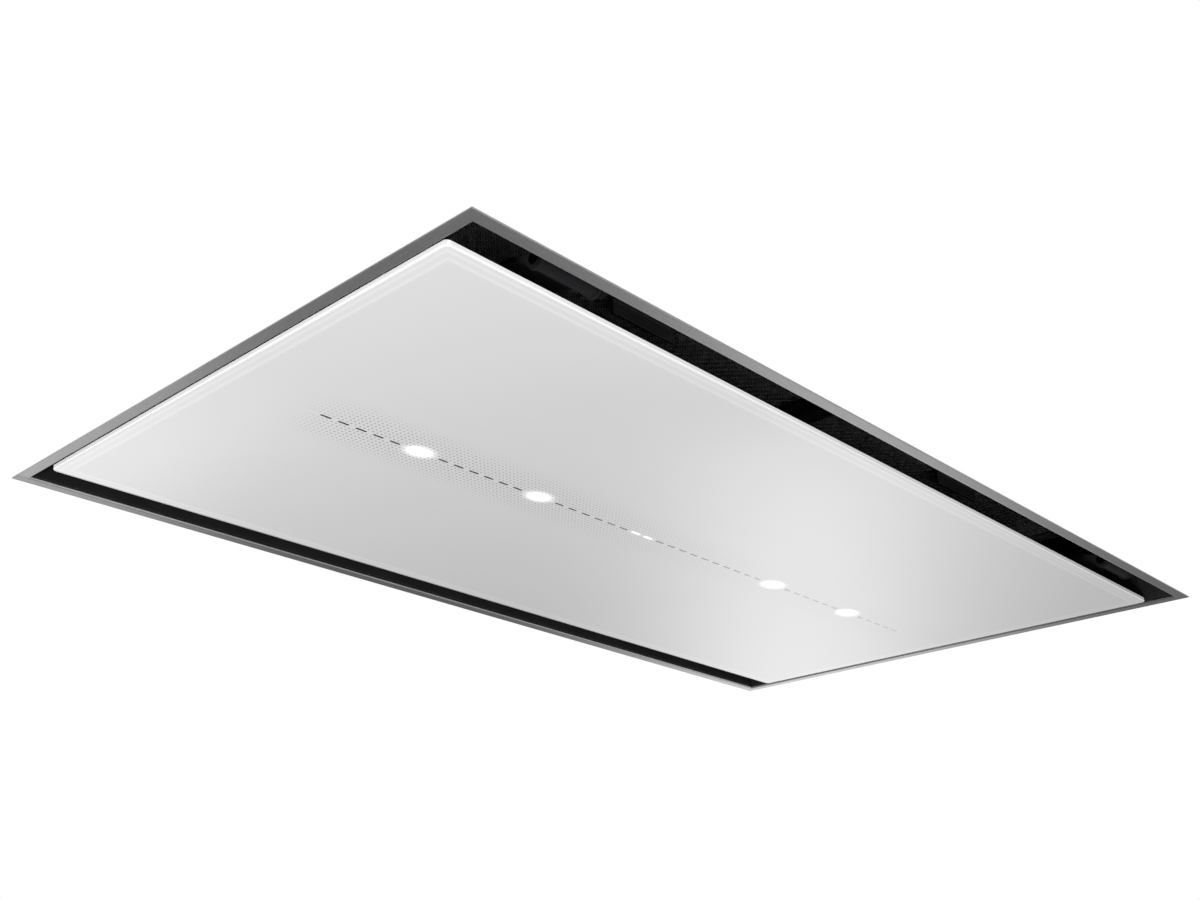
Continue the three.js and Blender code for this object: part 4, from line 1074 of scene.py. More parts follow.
    def mesh(self, name: str) -> bpy.types.Mesh:
        """Makes the Blender mesh, with its faces turned outwards.

        Args:
            name: The mesh's name.

        Returns:
            The mesh, in metres.
        """
        made = bpy.data.meshes.new(name)
        made.from_pydata([tuple(part * MM for part in point) for point in self.points], [], self.faces)
        work = bmesh.new()
        work.from_mesh(made)
        bmesh.ops.recalc_face_normals(work, faces=work.faces)
        work.to_mesh(made)
        work.free()
        return made


def softened(node: str) -> bpy.types.Mesh:
    """A mesh of a CAD solid with whole flat faces, ready for its edges to be eased.

    Args:
        node: The CAD node that the mesh takes its shape from.

    Returns:
        The new mesh; the CAD mesh stays as it is.
    """
    work = bmesh.new()
    work.from_mesh(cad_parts[node].data)
    bmesh.ops.remove_doubles(work, verts=work.verts, dist=WELD * MM)
    bmesh.ops.dissolve_limit(work, angle_limit=FLAT_ANGLE, verts=work.verts, edges=work.edges)
    made = bpy.data.meshes.new(node)
    work.to_mesh(made)
    work.free()
    return made


def span(node: str) -> tuple[Vector, Vector]:
    """The lowest and highest corners of a CAD node, in millimetres."""
    low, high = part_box(node)
    return low / MM, high / MM


class Assembly:
    """A sub-assembly, which places its pieces on the CAD's bodies."""

    body = "housing"

    def put(
        self,
        name: str,
        shape: Draft | bpy.types.Mesh,
        finish: Finish,
        stands_for: Sequence[str] = (),
        body: str | None = None,
        ease: float = 0.0,
    ) -> None:
        """Places one piece.

        Args:
            name: The piece's name.
            shape: Its draft, or its mesh in the row frame.
            finish: What it is made of.
            stands_for: The CAD nodes that it replaces.
            body: The CAD body that it moves with; the assembly's own where none is given.
            ease: How far its sharp edges are rounded, in millimetres.
        """
        mesh = shape.mesh(name) if isinstance(shape, Draft) else shape
        mesh.materials.clear()
        mesh.materials.append(finish.material())
        mesh.shade_smooth()
        made = bpy.data.objects.new(name, mesh)
        bpy.context.scene.collection.objects.link(made)
        if ease:
            edge = made.modifiers.new("eased_edges", "BEVEL")
            edge.width, edge.segments = ease * MM, 2
            edge.limit_method, edge.angle_limit = "ANGLE", SMOOTH_ANGLE
            edge.use_clamp_overlap = False
        else:
            mesh.set_sharp_from_angle(angle=SMOOTH_ANGLE)
        weighted = made.modifiers.new("flat_faces", "WEIGHTED_NORMAL")
        weighted.keep_sharp = True
        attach(made, body or self.body)
        if stands_for:
            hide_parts(*stands_for)
        LOG.info("%s rides on %s, finish %s", name, body or self.body, finish.name)

    def ease(self, node: str, finish: Finish, body: str | None = None, ease: float = 0.25) -> None:
        """Replaces a CAD node by its own shape with eased edges."""
        self.put(f"eased_{node}", softened(node), finish, [node], body, ease)

    def screws(
        self,
        name: str,
        spots: Sequence[Point],
        radius: float,
        axis: Axis = Axis.Z,
        height: float | None = None,
    ) -> None:
        """Places a set of zinc-plated screw heads, which point up the axis.

        Args:
            name: The set's name.
            spots: The middle of each head's seat.
            radius: The heads' radius.
            axis: The screws' axis.
            height: How far the heads stand out; a share of the radius where it isn't given.
        """
        draft = Draft()
        for spot in spots:
            draft.screw(spot, radius, height or radius * SCREW_HEIGHT_SHARE, axis)
        self.put(name, draft, ZINC)

    def rivets(self, name: str, spots: Sequence[Point], axis: Axis, side: int) -> None:
        """Places a set of blind rivets.

        Args:
            name: The set's name.
            spots: The middle of each head's seat.
            axis: The rivets' axis.
            side: 1 where the heads point up the axis, -1 where they point down.
        """
        draft = Draft()
        for spot in spots:
            draft.rivet(spot, RIVET_RADIUS, RIVET_HEIGHT, axis, side)
        self.put(name, draft, RIVET_METAL)

    def build(self) -> None:
        """Builds and places the pieces."""
        raise NotImplementedError


# ---------------------------------------------------------------- studio


@dataclass(frozen=True)
class Patch:
    """A soft bright or dark patch of the studio that glossy surfaces mirror.

    Attributes:
        strength: How much light it adds, or takes where it is less than 0.
        azimuth: The direction of its middle round z, in degrees.
        elevation: The direction of its middle above the horizon.
        tilt: How far its long side is turned.
        width: The spread of its long side.
        height: The spread of its short side.
    """

    strength: float
    azimuth: float
    elevation: float
    tilt: float
    width: float
    height: float

    def light(self, shader: Shader, ray: Field) -> Field:
        """The patch's light along each ray.

        Args:
            shader: The world's nodes.
            ray: The rays' directions.

        Returns:
            The strength of the light.
        """
        a, e, t = (math.radians(part) for part in (self.azimuth, self.elevation, self.tilt))
        middle = Vector((math.cos(e) * math.cos(a), math.cos(e) * math.sin(a), math.sin(e)))
        level = Vector((-math.sin(a), math.cos(a), 0.0))
        upright = Vector((-math.sin(e) * math.cos(a), -math.sin(e) * math.sin(a), math.cos(e)))
        along = shader.dot(ray, math.cos(t) * level + math.sin(t) * upright) / self.width
        across = shader.dot(ray, math.cos(t) * upright - math.sin(t) * level) / self.height
        ahead = shader.dot(ray, middle) > 0.0
        return (along * along + across * across).fading() * ahead * self.strength


@dataclass(frozen=True)
class Lamp:
    """A soft round lamp that is aimed at the hood and isn't mirrored.

    Attributes:
        name: Its name.
        place: Where it hangs, in metres.
        power: Its power in watts.
        size: Its diameter in metres.
    """

    name: str
    place: Point
    power: float
    size: float

    def hang(self) -> None:
        """Hangs the lamp in the studio."""
        data = bpy.data.lights.new(self.name, "AREA")
        data.energy, data.size, data.shape = self.power, self.size, "DISK"
        made = bpy.data.objects.new(self.name, data)
        made.location = self.place
        made.rotation_euler = (-Vector(self.place)).to_track_quat("-Z", "Y").to_euler()
        made.visible_camera = made.visible_glossy = False
        bpy.context.scene.collection.objects.link(made)


@dataclass
class Studio:
    """Camera, lamps, world, floor and the ceiling that the hood is let into."""

    place: Point = (-0.8454, -0.6876, -0.3957)
    right: Point = (0.7101, -0.7041, 0.0021)
    up: Point = (-0.2864, -0.2861, 0.9144)
    lens: float = 41.58
    sensor: float = 36.0
    shift: float = 0.0629
    clip_end: float = 2000.0
    ambient: float = 0.5
    mirrored: float = 0.85
    darkest: float = 0.03
    floor_level: float = -2400.0
    floor_half: float = 400000.0
    floor_white: float = 0.99
    ceiling_level: float = 0.15
    ceiling_half: float = 6000.0
    ceiling_white: float = 1.0
    opening: Pair = (444.0, 243.5)
    lamps: tuple[Lamp, ...] = (
        Lamp("side_lamp", (-2.308, -0.847, -1.543), 82.0, 0.6),
        Lamp("upper_lamp", (1.5, -1.0, 2.5), 58.0, 1.2),
    )
    patches: tuple[Patch, ...] = (
        Patch(-0.70, 36.1, -23.4, 10.2, 0.562, 0.35),
        Patch(1.51, 33.3, -18.6, 80.5, 0.318, 0.114),
        Patch(0.67, 62.6, -22.7, 25.1, 0.100, 0.048),
        Patch(-0.70, 34.0, -25.6, -9.4, 0.101, 0.041),
        Patch(1.30, 76.0, -20.0, 15.0, 0.17, 0.10),
        Patch(3.2, -43.5, -36.5, 0.0, 0.16, 0.13),
        Patch(-0.84, 117.0, -58.0, 0.0, 0.5, 0.4),
        Patch(-0.40, 15.0, -16.0, 0.0, 0.09, 0.07),
    )

    def camera(self) -> None:
        """Sets the camera where the photograph was taken from."""
        data = bpy.data.cameras.new("camera")
        data.lens, data.sensor_width, data.shift_x = self.lens, self.sensor, self.shift
        data.clip_end = self.clip_end
        made = bpy.data.objects.new("camera", data)
        right, up = Vector(self.right).normalized(), Vector(self.up).normalized()
        turn = Matrix((right, up, right.cross(up))).transposed().to_4x4()
        made.matrix_world = Matrix.Translation(self.place) @ turn
        bpy.context.scene.collection.objects.link(made)
        bpy.context.scene.camera = made

    def world(self) -> None:
        """White for the camera, an even light for the surfaces, soft patches for the mirrors."""
        world = bpy.data.worlds.new("studio")
        world.use_nodes = True
        world.cycles.sampling_method = "NONE"
        shader = Shader(world.node_tree)
        ray = shader.node("ShaderNodeTexCoord", output="Generated")
        mirrored = sum((patch.light(shader, ray) for patch in self.patches), self.mirrored)
        camera, glossy, through = (
            shader.node("ShaderNodeLightPath", output=f"Is {kind} Ray")
            for kind in ("Camera", "Glossy", "Transmission")
        )
        level = self.ambient + glossy.most(through) * (mirrored.most(self.darkest) - self.ambient)
        level = camera + (1.0 - camera) * level
        light = shader.node("ShaderNodeBackground", sockets={"Color": (1.0, 1.0, 1.0), "Strength": level})
        shader.node("ShaderNodeOutputWorld", sockets={"Surface": light})
        bpy.context.scene.world = world

    def sheet(
        self, name: str, points: Loop, faces: Sequence[tuple[int, ...]], white: float, clear: bool
    ) -> None:
        """Adds a plain white plane that only the camera sees.

        Args:
            name: The plane's name.
            points: Its corners, in millimetres.
            faces: Its faces, which turn their backs up.
            white: How bright it is.
            clear: Whether it is clear when it is seen from above.
        """
        material = bpy.data.materials.new(name)
        material.use_nodes = True
        shader = Shader(material.node_tree)
        surface = shader.node("ShaderNodeEmission", sockets={"Color": (white, white, white)})
        if clear:
            above = shader.node("ShaderNodeNewGeometry", output="Backfacing")
            nothing = shader.node("ShaderNodeBsdfTransparent")
            surface = shader.node("ShaderNodeMixShader", sockets={0: above, 1: surface, 2: nothing})
        shader.node("ShaderNodeOutputMaterial", sockets={"Surface": surface})
        mesh = bpy.data.meshes.new(name)
        mesh.from_pydata([tuple(part * MM for part in point) for point in points], [], faces)
        mesh.materials.append(material)
        made = bpy.data.objects.new(name, mesh)
        bpy.context.scene.collection.objects.link(made)
        made.visible_diffuse = made.visible_glossy = made.visible_transmission = made.visible_shadow = False

    def backdrop(self) -> None:
        """Lays the floor and the ceiling's underside with the hood's opening."""
        corners = ((-1, -1), (1, -1), (1, 1), (-1, 1))
        far, level = self.floor_half, self.floor_level
        floor = [(a * far, b * far, level) for a, b in corners]
        self.sheet("floor", floor, [(0, 1, 2, 3)], self.floor_white, False)
        far, level = self.ceiling_half, self.ceiling_level
        near_x, near_y = self.opening
        points = [(a * far, b * far, level) for a, b in corners]
        points += [(a * near_x, b * near_y, level) for a, b in corners]
        faces = [(i, i + 4, (i + 1) % 4 + 4, (i + 1) % 4) for i in range(4)]
        self.sheet("ceiling", points, faces, self.ceiling_white, True)

    def build(self) -> None:
        """Sets up everything that isn't the hood."""
        bpy.context.scene.view_settings.view_transform = "Standard"
        self.camera()
        self.world()
        for lamp in self.lamps:
            lamp.hang()
        self.backdrop()


# ---------------------------------------------------------------- hood


@dataclass
class TrimFrame(Assembly):
    """Folded stainless trim with mitred corners."""

    face: float = 9.5
    sheet: float = 1.5
    bend: float = 2.5
    crease: float = 1.5
    lip_inner: float = 1.5
    lip_outer: float = 2.7
    lip_top: float = 8.0
    edge: float = 0.35
    back_edge: float = 1.0
    inner_x: float = 440.5
    inner_y: float = 240.5

    def build(self) -> None:
        """Draws the trim's profile round the opening."""
        top = self.bend - self.sheet
        outer = self.face - self.edge
        profile = [(0.0, top)]
        profile += arc((self.crease, self.crease - self.sheet), self.crease, 180.0, 270.0, 10)
        profile += arc((outer, self.edge - self.sheet), self.edge, 270.0, 360.0, 4)
        profile += arc((self.face - self.back_edge, -self.back_edge), self.back_edge, 0.0, 90.0, 6)
        profile += [(self.lip_outer, 0.0), (self.lip_outer, self.lip_top)]
        profile += [(self.lip_inner, self.lip_top), (self.lip_inner, top)]
        self.put("trim", Draft().mitred(profile, self.inner_x, self.inner_y), STAINLESS, ["trim_frame"])


@dataclass
class GlassPanel(Assembly):
    """White glass with its printed line, the pan behind it, four lamps and the display board."""

    body = "panel"
    half_x: float = 436.5
    half_y: float = 215.6
    foot: float = -1.45
    top: float = 2.5
    corner: float = 3.6
    pencil: float = 1.2
    arris: float = 0.3
    print_height: float = 0.04
    dash_pitch: float = 14.95
    dash_length: float = 9.0
    dash_width: float = 1.9
    dash_corner: float = 0.3
    dash_pairs: int = 24
    lit_growth: float = 0.1
    lit_marks: tuple[float, ...] = (-37.375, -22.425)
    lamp_spots: tuple[float, ...] = (-269.1, -149.5, 149.5, 269.1)
    lamp_radius: float = 21.0
    lamp_neck: float = 13.0
    pad_height: float = 2.0
    pan_bead: Pressing = Pressing(285.0, 9.0, 1.4)
    bead_rows: tuple[float, ...] = (-60.0, 0.0, 60.0, 120.0)
    arm_back: float = 23.8
    arm_screw: float = 3.6
    arm_screw_aside: float = 14.0
    arm_screw_rows: Pair = (12.0, 74.0)

    def glass(self) -> None:
        """The sheet of glass with its rounded pencil edge."""
        round_in = arc((self.pencil, self.foot + self.pencil), self.pencil, 270.0, 180.0, 6)
        round_out = arc((self.arris, self.top - self.arris), self.arris, 180.0, 90.0, 3)
        steps = [(2 * self.pencil, self.foot), *round_in, *round_out, (2 * self.pencil, self.top)]
        draft = Draft().stepped(steps, (self.half_x, self.half_y), self.corner, 10)
        self.put("glass", draft, WHITE_GLASS, ["panel_glass"])

    def dashes(self) -> list[float]:
        """The places of the dashes along the line, without those that the lamps stand in for."""
        places = [side * (k + 0.5) * self.dash_pitch for k in range(self.dash_pairs) for side in SIGNS]
        return sorted(x for x in places if all(abs(x - lamp) > self.dash_pitch for lamp in self.lamp_spots))

    def marks(self, places: Sequence[float], growth: float = 0.0) -> Draft:
        """Thin printed dashes under the glass.

        Args:
            places: Where their middles lie along the line.
            growth: How much larger each is than a plain dash, on every side.

        Returns:
            Their draft.
        """
        draft = Draft()
        half_x, half_y = self.dash_length / 2 + growth, self.dash_width / 2 + growth
        for x in places:
            outline = rounded(half_x, half_y, self.dash_corner, 3, (x, 0.0))
            draft.prism(outline, self.foot - self.print_height, self.foot)
        return draft

    def lenses(self) -> Draft:
        """The lamps' bright windows in the enamel.

        Returns:
            Their draft.
        """
        draft = Draft()
        for x in self.lamp_spots:
            outlines = []
            for share, z in ((0.985, self.foot - self.print_height), (1.0, self.foot)):
                half_x, half_y = (share * half for half in WHITE_GLASS.window)
                outlines.append(([(x + half_x * u, half_y * v) for u, v in circle((0.0, 0.0), 1.0, 64)], z))
            draft.stacked(outlines)
        return draft

    def lamp(self, index: int, x: float) -> None:
        """A lamp's housing behind the glass.

        Args:
            index: The lamp's number.
            x: Its place along the line.
        """
        foot, top = (corner.z for corner in span(f"lamp_{index}"))
        neck, radius = self.lamp_neck, self.lamp_radius
        profile = [(neck, foot), (neck, foot + 1.6), (radius - 0.6, foot + 3.6), (radius, foot + 4.2)]
        profile += [(radius, top - 2.4), (radius - 0.8, top - 1.6), (neck + 0.4, top - 0.3)]
        profile += [(neck - 0.2, top)]
        self.put(f"lamp_body_{index}", Draft().turned(profile, (x, 0.0)), WHITE_PLASTIC, [f"lamp_{index}"])

    def pan_details(self) -> None:
        """Adhesive round the pan's foot, beads pressed in its back and the screws of the arms."""
        high = span("panel_pan")[1]
        seam = [(0.0, self.top), (2.2, self.top), (1.9, self.top + 0.8), (0.2, self.top + 1.9)]
        self.put("pan_adhesive", Draft().mitred(seam, high.x, high.y), FOAM)
        spots = [(0.0, y, high.z - self.pad_height) for y in self.bead_rows]
        self.put("pan_beads", Draft().beads(spots, self.pan_bead), BLACK_PAINT)
        for end in ENDS:
            near, far = span(f"hinge_arm_{end}")
            middle = (near.x + far.x) / 2
            spots = [
                (middle + side * self.arm_screw_aside, far.y - inset, self.arm_back)
                for side in SIGNS for inset in self.arm_screw_rows
            ]
            self.screws(f"arm_screws_{end}", spots, self.arm_screw)

    def build(self) -> None:
        """Builds the panel from the glass upwards."""
        self.pan_details()
        self.glass()
        dark = [x for x in self.dashes() if all(abs(x - mark) > 1.0 for mark in self.lit_marks)]
        self.put("printed_dashes", self.marks(dark), DARK_INK)
        self.put("lit_dashes", self.marks(self.lit_marks, self.lit_growth), LENS)
        self.put("lamp_windows", self.lenses(), LENS)
        for index, x in enumerate(self.lamp_spots, 1):
            self.lamp(index, x)
        self.ease("panel_pan", BLACK_PAINT)
        self.ease("display_board", BOARD, ease=0.0)


@dataclass
class Plenum(Assembly):
    """Black plenum walls, the shelf for the filters and the galvanised top plate."""

    inner_x: float = 440.5
    inner_y: float = 240.5
    sheet: float = 1.2
    clearance: float = 0.3
    gusset_leg: float = 19.0
    gusset_level: float = 31.6
    upper_row: float = 100.0
    lower_row: float = 24.0
    long_bead: Pressing = Pressing(385.0, 5.0, 1.8)
    short_bead: Pressing = Pressing(205.0, 5.0, 1.8)
    foot_bead: Pressing = Pressing(105.0, 5.0, 1.8)
    top_bead: Pressing = Pressing(92.0, 6.0, 1.8)
    top_bead_x: float = 318.0
    right_bead_rows: tuple[float, ...] = (-150.0, -50.0, 50.0, 150.0)
    left_bead_rows: tuple[float, ...] = (-150.0, 150.0)
    corner_x: float = 431.0
    corner_levels: tuple[float, ...] = (14.0, 40.0, 66.0, 92.0, 114.0)
    shelf_row: float = 86.0
    long_pitch: float = 80.0
    long_rivets: int = 11
    short_pitch: float = 90.0
    short_rivets: int = 5
    hinge_x: float = 354.0
    hinge_aside: float = 15.0
    hinge_levels: Pair = (42.0, 54.0)
    pocket_y: float = 172.0
    pocket_aside: float = 35.5
    pocket_levels: Pair = (20.0, 62.0)
    top_inset: float = 10.0
    top_screw: float = 3.8
    top_screws: tuple[int, int] = (9, 3)

    def gussets(self) -> None:
        """Small triangular plates tie the walls together in the corners."""
        draft = Draft()
        for side_x in SIGNS:
            for side_y in SIGNS:
                x, y = side_x * (self.inner_x - self.clearance), side_y * (self.inner_y - self.clearance)
                outline = [(x, y), (x - side_x * self.gusset_leg, y), (x, y - side_y * self.gusset_leg)]
                draft.prism(outline, self.gusset_level, self.gusset_level + self.sheet)
        self.put("corner_gussets", draft, BLACK_PAINT, ease=0.2)

    def beads(self) -> None:
        """Long beads stiffen the walls and the top plate."""
        skin_x, skin_y = self.inner_x + self.sheet, self.inner_y + self.sheet
        draft = Draft()
        for side in SIGNS:
            rows = [(0.0, side * skin_y, level) for level in (self.upper_row, self.lower_row)]
            draft.beads(rows, self.long_bead, Axis.Y, side)
            draft.beads([(side * skin_x, 0.0, self.upper_row)], self.short_bead, Axis.X, side)
            draft.beads([(side * skin_x, 0.0, self.lower_row)], self.foot_bead, Axis.X, side)
        self.put("wall_beads", draft, BLACK_PAINT)
        top = span("plenum_top")[1].z
        spots = [(self.top_bead_x, y, top) for y in self.right_bead_rows]
        spots += [(-self.top_bead_x, y, top) for y in self.left_bead_rows]
        self.put("top_beads", Draft().beads(spots, self.top_bead), SHEET_ZINC)

    def fixings(self) -> None:
        """Rivets join the walls, the shelf, the hinges and the catches; screws hold the top."""
        skin_x, skin_y = self.inner_x + self.sheet, self.inner_y + self.sheet
        for face in FACES:
            y = face.sign * skin_y
            spots = [(side * self.corner_x, y, z) for side in SIGNS for z in self.corner_levels]
            spots += [(x, y, self.shelf_row) for x in spaced(self.long_pitch, self.long_rivets)]
            spots += [
                (side * self.hinge_x + aside * self.hinge_aside, y, z)
                for side in SIGNS for aside in SIGNS for z in self.hinge_levels
            ]
            self.rivets(f"{face}_rivets", spots, Axis.Y, face.sign)
        for end in ENDS:
            x = end.sign * skin_x
            spots = [(x, y, self.shelf_row) for y in spaced(self.short_pitch, self.short_rivets)]
            spots += [
                (x, side * self.pocket_y + aside * self.pocket_aside, z)
                for side in SIGNS for aside in SIGNS for z in self.pocket_levels
            ]
            self.rivets(f"{end}_end_rivets", spots, Axis.X, end.sign)
        high = span("plenum_top")[1]
        far_x, far_y = high.x - self.top_inset, high.y - self.top_inset
        along, across = self.top_screws
        places = spaced(2 * far_x / (along - 1), along), spaced(self.short_pitch, across)
        self.screws("top_screws", border((far_x, far_y), *places, high.z), self.top_screw)

    def build(self) -> None:
        """Eases the sheets and adds their gussets, beads and fixings."""
        pockets = [f"clamp_pocket_{index}" for index in range(1, 5)]
        for node in ("front_wall", "rear_wall", "end_wall_left", "end_wall_right", "filter_shelf", *pockets):
            self.ease(node, BLACK_PAINT)
        self.ease("plenum_top", SHEET_ZINC)
        self.gussets()
        self.beads()
        self.fixings()


@dataclass
class FilterBank(Assembly):
    """Two grease filters with expanded aluminium faces, and their latches."""

    strand_amplitude: float = 2.6
    strand_step: float = 4.6
    strand_width: float = 0.9
    strand_sheet: float = 0.7
    face_lift: float = 1.05
    rim: float = 13.2
    grip_rib: Pressing = Pressing(22.0, 0.6, 0.5)
    grip_foot: float = 1.6
    grip_pitch: float = 1.8
    grip_ribs: int = 5

    def face(self, end: Side) -> Draft:
        """An expanded mesh of zigzag strands that touch at their peaks, under a cassette.

        Args:
            end: The cassette's side.

        Returns:
            The mesh's draft.
        """
        low, high = span(f"filter_frame_{end}")
        half, pitch = self.strand_width / 2, 2 * self.strand_amplitude
        columns = math.floor((high.x - low.x - 2 * self.rim) / self.strand_step)
        rows = math.floor((high.y - low.y - 2 * self.rim) / pitch)
        start_x = (low.x + high.x - columns * self.strand_step) / 2
        start_y = (low.y + high.y - (rows - 1) * pitch) / 2
        foot = low.z + self.face_lift
        top = foot + self.strand_sheet
        draft = Draft()
        for row in range(rows):
            loops = []
            for column in range(columns + 1):
                x = start_x + column * self.strand_step
                swing = (self.strand_amplitude - half) * (1 if (row + column) % 2 else -1)
                low_y, high_y = (start_y + row * pitch + swing + side * half for side in SIGNS)
                loops.append([(x, low_y, foot), (x, high_y, foot), (x, high_y, top), (x, low_y, top)])
            draft.loft(loops)
        return draft

    def rim_rivets(self, end: Side) -> None:
        """Rivets hold the mitred corners of a cassette's rim.

        Args:
            end: The cassette's side.
        """
        low, high = span(f"filter_frame_{end}")
        inset = self.rim / 2
        rows, columns = (low.y + inset, high.y - inset), (low.x + inset, high.x - inset)
        self.rivets(f"filter_rivets_{end}", [(x, y, low.z) for y in rows for x in columns], Axis.Z, -1)

    def grip(self, end: Side) -> None:
        """Fine ribs on a latch's pull give the fingers a hold.

        Args:
            end: The latch's side.
        """
        low, high = span(f"filter_latch_{end}")
        levels = [low.z + self.grip_foot + self.grip_pitch * i for i in range(self.grip_ribs)]
        spots = [((low.x + high.x) / 2, high.y, level) for level in levels]
        draft = Draft().beads(spots, self.grip_rib, Axis.Y)
        self.put(f"latch_grip_{end}", draft, DULL_ZINC, body=f"{end}_latch")

    def build(self) -> None:
        """Builds each cassette with its latch."""
        for end in ENDS:
            self.ease(f"filter_frame_{end}", ALUMINIUM, ease=0.3)
            self.ease(f"filter_core_{end}", WIRE_MESH, ease=0.0)
            self.put(f"filter_face_{end}", self.face(end), ALUMINIUM)
            self.rim_rivets(end)
            self.ease(f"filter_latch_{end}", DULL_ZINC, f"{end}_latch", ease=0.4)
            self.grip(end)


@dataclass
class PanelHinges(Assembly):
    """The panel's two hinges and the magnet catches that hold it shut."""

    cup_inner: float = 11.05
    cup_outer: float = 12.0
    cup_height: float = 7.5
    cup_lift: float = 0.1
    cup_bevel: float = 0.3

    def cup(self, end: Side) -> None:
        """The plated steel cup round a catch's magnet.

        Args:
            end: The catch's side.
        """
        low, high = span(f"magnet_catch_{end}")
        foot = low.z + self.cup_lift
        top = foot + self.cup_height
        centre = ((low.x + high.x) / 2, low.y + self.cup_outer)
        bevel = [(self.cup_outer - self.cup_bevel, foot), (self.cup_outer, foot + self.cup_bevel)]
        profile = [(self.cup_inner, foot), *bevel, (self.cup_outer, top), (self.cup_inner, top)]
        self.put(f"magnet_cup_{end}", Draft().turned(profile, centre, 40, hollow=True), ZINC)

    def build(self) -> None:
        """Eases the brackets, arms, pins and catches."""
        for end in ENDS:
            self.ease(f"hinge_bracket_{end}", MATT_PAINT, ease=0.3)
            self.ease(f"hinge_pin_{end}", BLACK_ZINC, ease=0.3)
            self.ease(f"hinge_arm_{end}", MATT_PAINT, "panel", ease=0.3)
            self.ease(f"magnet_catch_{end}", BLACK_PAINT)
            self.cup(end)


@dataclass
class MotorBox(Assembly):
    """Galvanised box over the blower, with pressed beads and a screwed lid."""

    half_x: float = 190.0
    half_y: float = 200.0
    flange: float = 14.0
    sheet: float = 1.2
    lid_rim: float = 20.0
    lid_slope: float = 2.5
    lid_top: float = 297.0
    lid_sink: float = 0.4
    lid_corner: float = 4.0
    lid_bead: Pressing = Pressing(140.0, 8.0, 0.8)
    lid_rows: tuple[float, ...] = (-120.0, -40.0, 40.0, 120.0)
    screw: float = 4.2
    flat_head: float = 0.45
    wall_bead: Pressing = Pressing(7.0, 62.0, 2.0)
    bead_level: float = 211.0
    bead_rows: tuple[float, ...] = (-130.0, -65.0, 0.0, 65.0, 130.0)
    outlet_rows: tuple[float, ...] = (40.0, 90.0, 140.0)
    rivet_inset: float = 9.0
    rivet_foot: float = 150.0
    rivet_pitch: float = 26.0
    rivet_rows: int = 6
    foot_screw_spacing: float = 2.2
    grommet_spot: Pair = (-98.0, 143.0)
    grommet_bore: float = 4.0
    grommet_radius: float = 10.5
    grommet_height: float = 2.6

    def lid(self) -> None:
        """A lid with a raised rim, low beads in its field and flat screws round it."""
        foot, top = span("motor_box_lid")[0].z, self.lid_top
        field = top - self.lid_sink
        steps = [(0.4, foot), (0.0, foot + 0.2), (0.0, top - 0.3), (0.4, top)]
        steps += [(self.lid_rim, top), (self.lid_rim + self.lid_slope, field)]
        draft = Draft().stepped(steps, (self.half_x, self.half_y), self.lid_corner, 5)
        self.put("box_lid", draft, SHEET_ZINC, ["motor_box_lid"])
        draft = Draft().beads([(0.0, y, field) for y in self.lid_rows], self.lid_bead)
        self.put("lid_beads", draft, SHEET_ZINC)
        edge_x, edge_y = self.half_x - self.lid_rim / 2, self.half_y - self.lid_rim / 2
        spots = border((edge_x, edge_y), spaced(edge_x / 2, 5), spaced(edge_y / 2, 3), top)
        self.screws("lid_screws", spots, self.screw, height=self.flat_head)

    def walls(self) -> None:
        """Upright beads, riveted corners and the screwed foot flange."""
        draft = Draft()
        for side in SIGNS:
            spots = [(x, side * self.half_y, self.bead_level) for x in self.bead_rows]
            draft.beads(spots, self.wall_bead, Axis.Y, side)
        for side, rows in ((-1, self.bead_rows), (1, self.outlet_rows)):
            spots = [(side * self.half_x, y, self.bead_level) for y in rows]
            draft.beads(spots, self.wall_bead, Axis.X, side)
        self.put("box_beads", draft, SHEET_ZINC)
        levels = [self.rivet_foot + self.rivet_pitch * i for i in range(self.rivet_rows)]
        seam_x = self.half_x - self.rivet_inset
        for face in FACES:
            spots = [(side * seam_x, face.sign * self.half_y, z) for side in SIGNS for z in levels]
            self.rivets(f"box_{face}_rivets", spots, Axis.Y, face.sign)
        seat = span("motor_box")[0].z + self.sheet
        edge_x, edge_y = self.half_x + self.flange / 2, self.half_y + self.flange / 2
        along, across = spaced(edge_x / self.foot_screw_spacing, 5), spaced(edge_y / 2, 3)
        self.screws("box_foot_screws", border((edge_x, edge_y), along, across, seat), self.screw)

    def grommet(self) -> None:
        """A rubber grommet where the motor's leads enter the box."""
        bore, radius, face = self.grommet_bore, self.grommet_radius, -self.half_x
        end = face - self.grommet_height
        profile = [(bore, face), (radius, face), (radius, end + 1.0), (radius - 0.9, end)]
        profile += [(bore + 1.4, end), (bore, end + 1.4)]
        draft = Draft().turned(profile, self.grommet_spot, 36, Axis.X, hollow=True)
        self.put("lead_grommet", draft, FOAM)

    def build(self) -> None:
        """Builds the box, its lid and their fixings."""
        self.ease("motor_box", SHEET_ZINC)
        self.lid()
        self.walls()
        self.grommet()


@dataclass
class Blower(Assembly):
    """Scroll, inlet ring, impeller and the external-rotor motor."""

    def build(self) -> None:
        """Dresses the blower from the outside in."""
        self.ease("scroll_housing", SHEET_ZINC, ease=0.0)
        self.ease("scroll_cover", SHEET_ZINC, ease=0.0)
        self.ease("inlet_ring", BLACK_PLASTIC, ease=0.0)
        self.ease("motor_mount", SHEET_ZINC)
        self.ease("motor_stator", COPPER, ease=0.0)
        self.ease("impeller", BLACK_PLASTIC, "blower_wheel", ease=0.0)
        self.ease("motor_rotor", MOTOR_PAINT, "blower_wheel", ease=0.4)


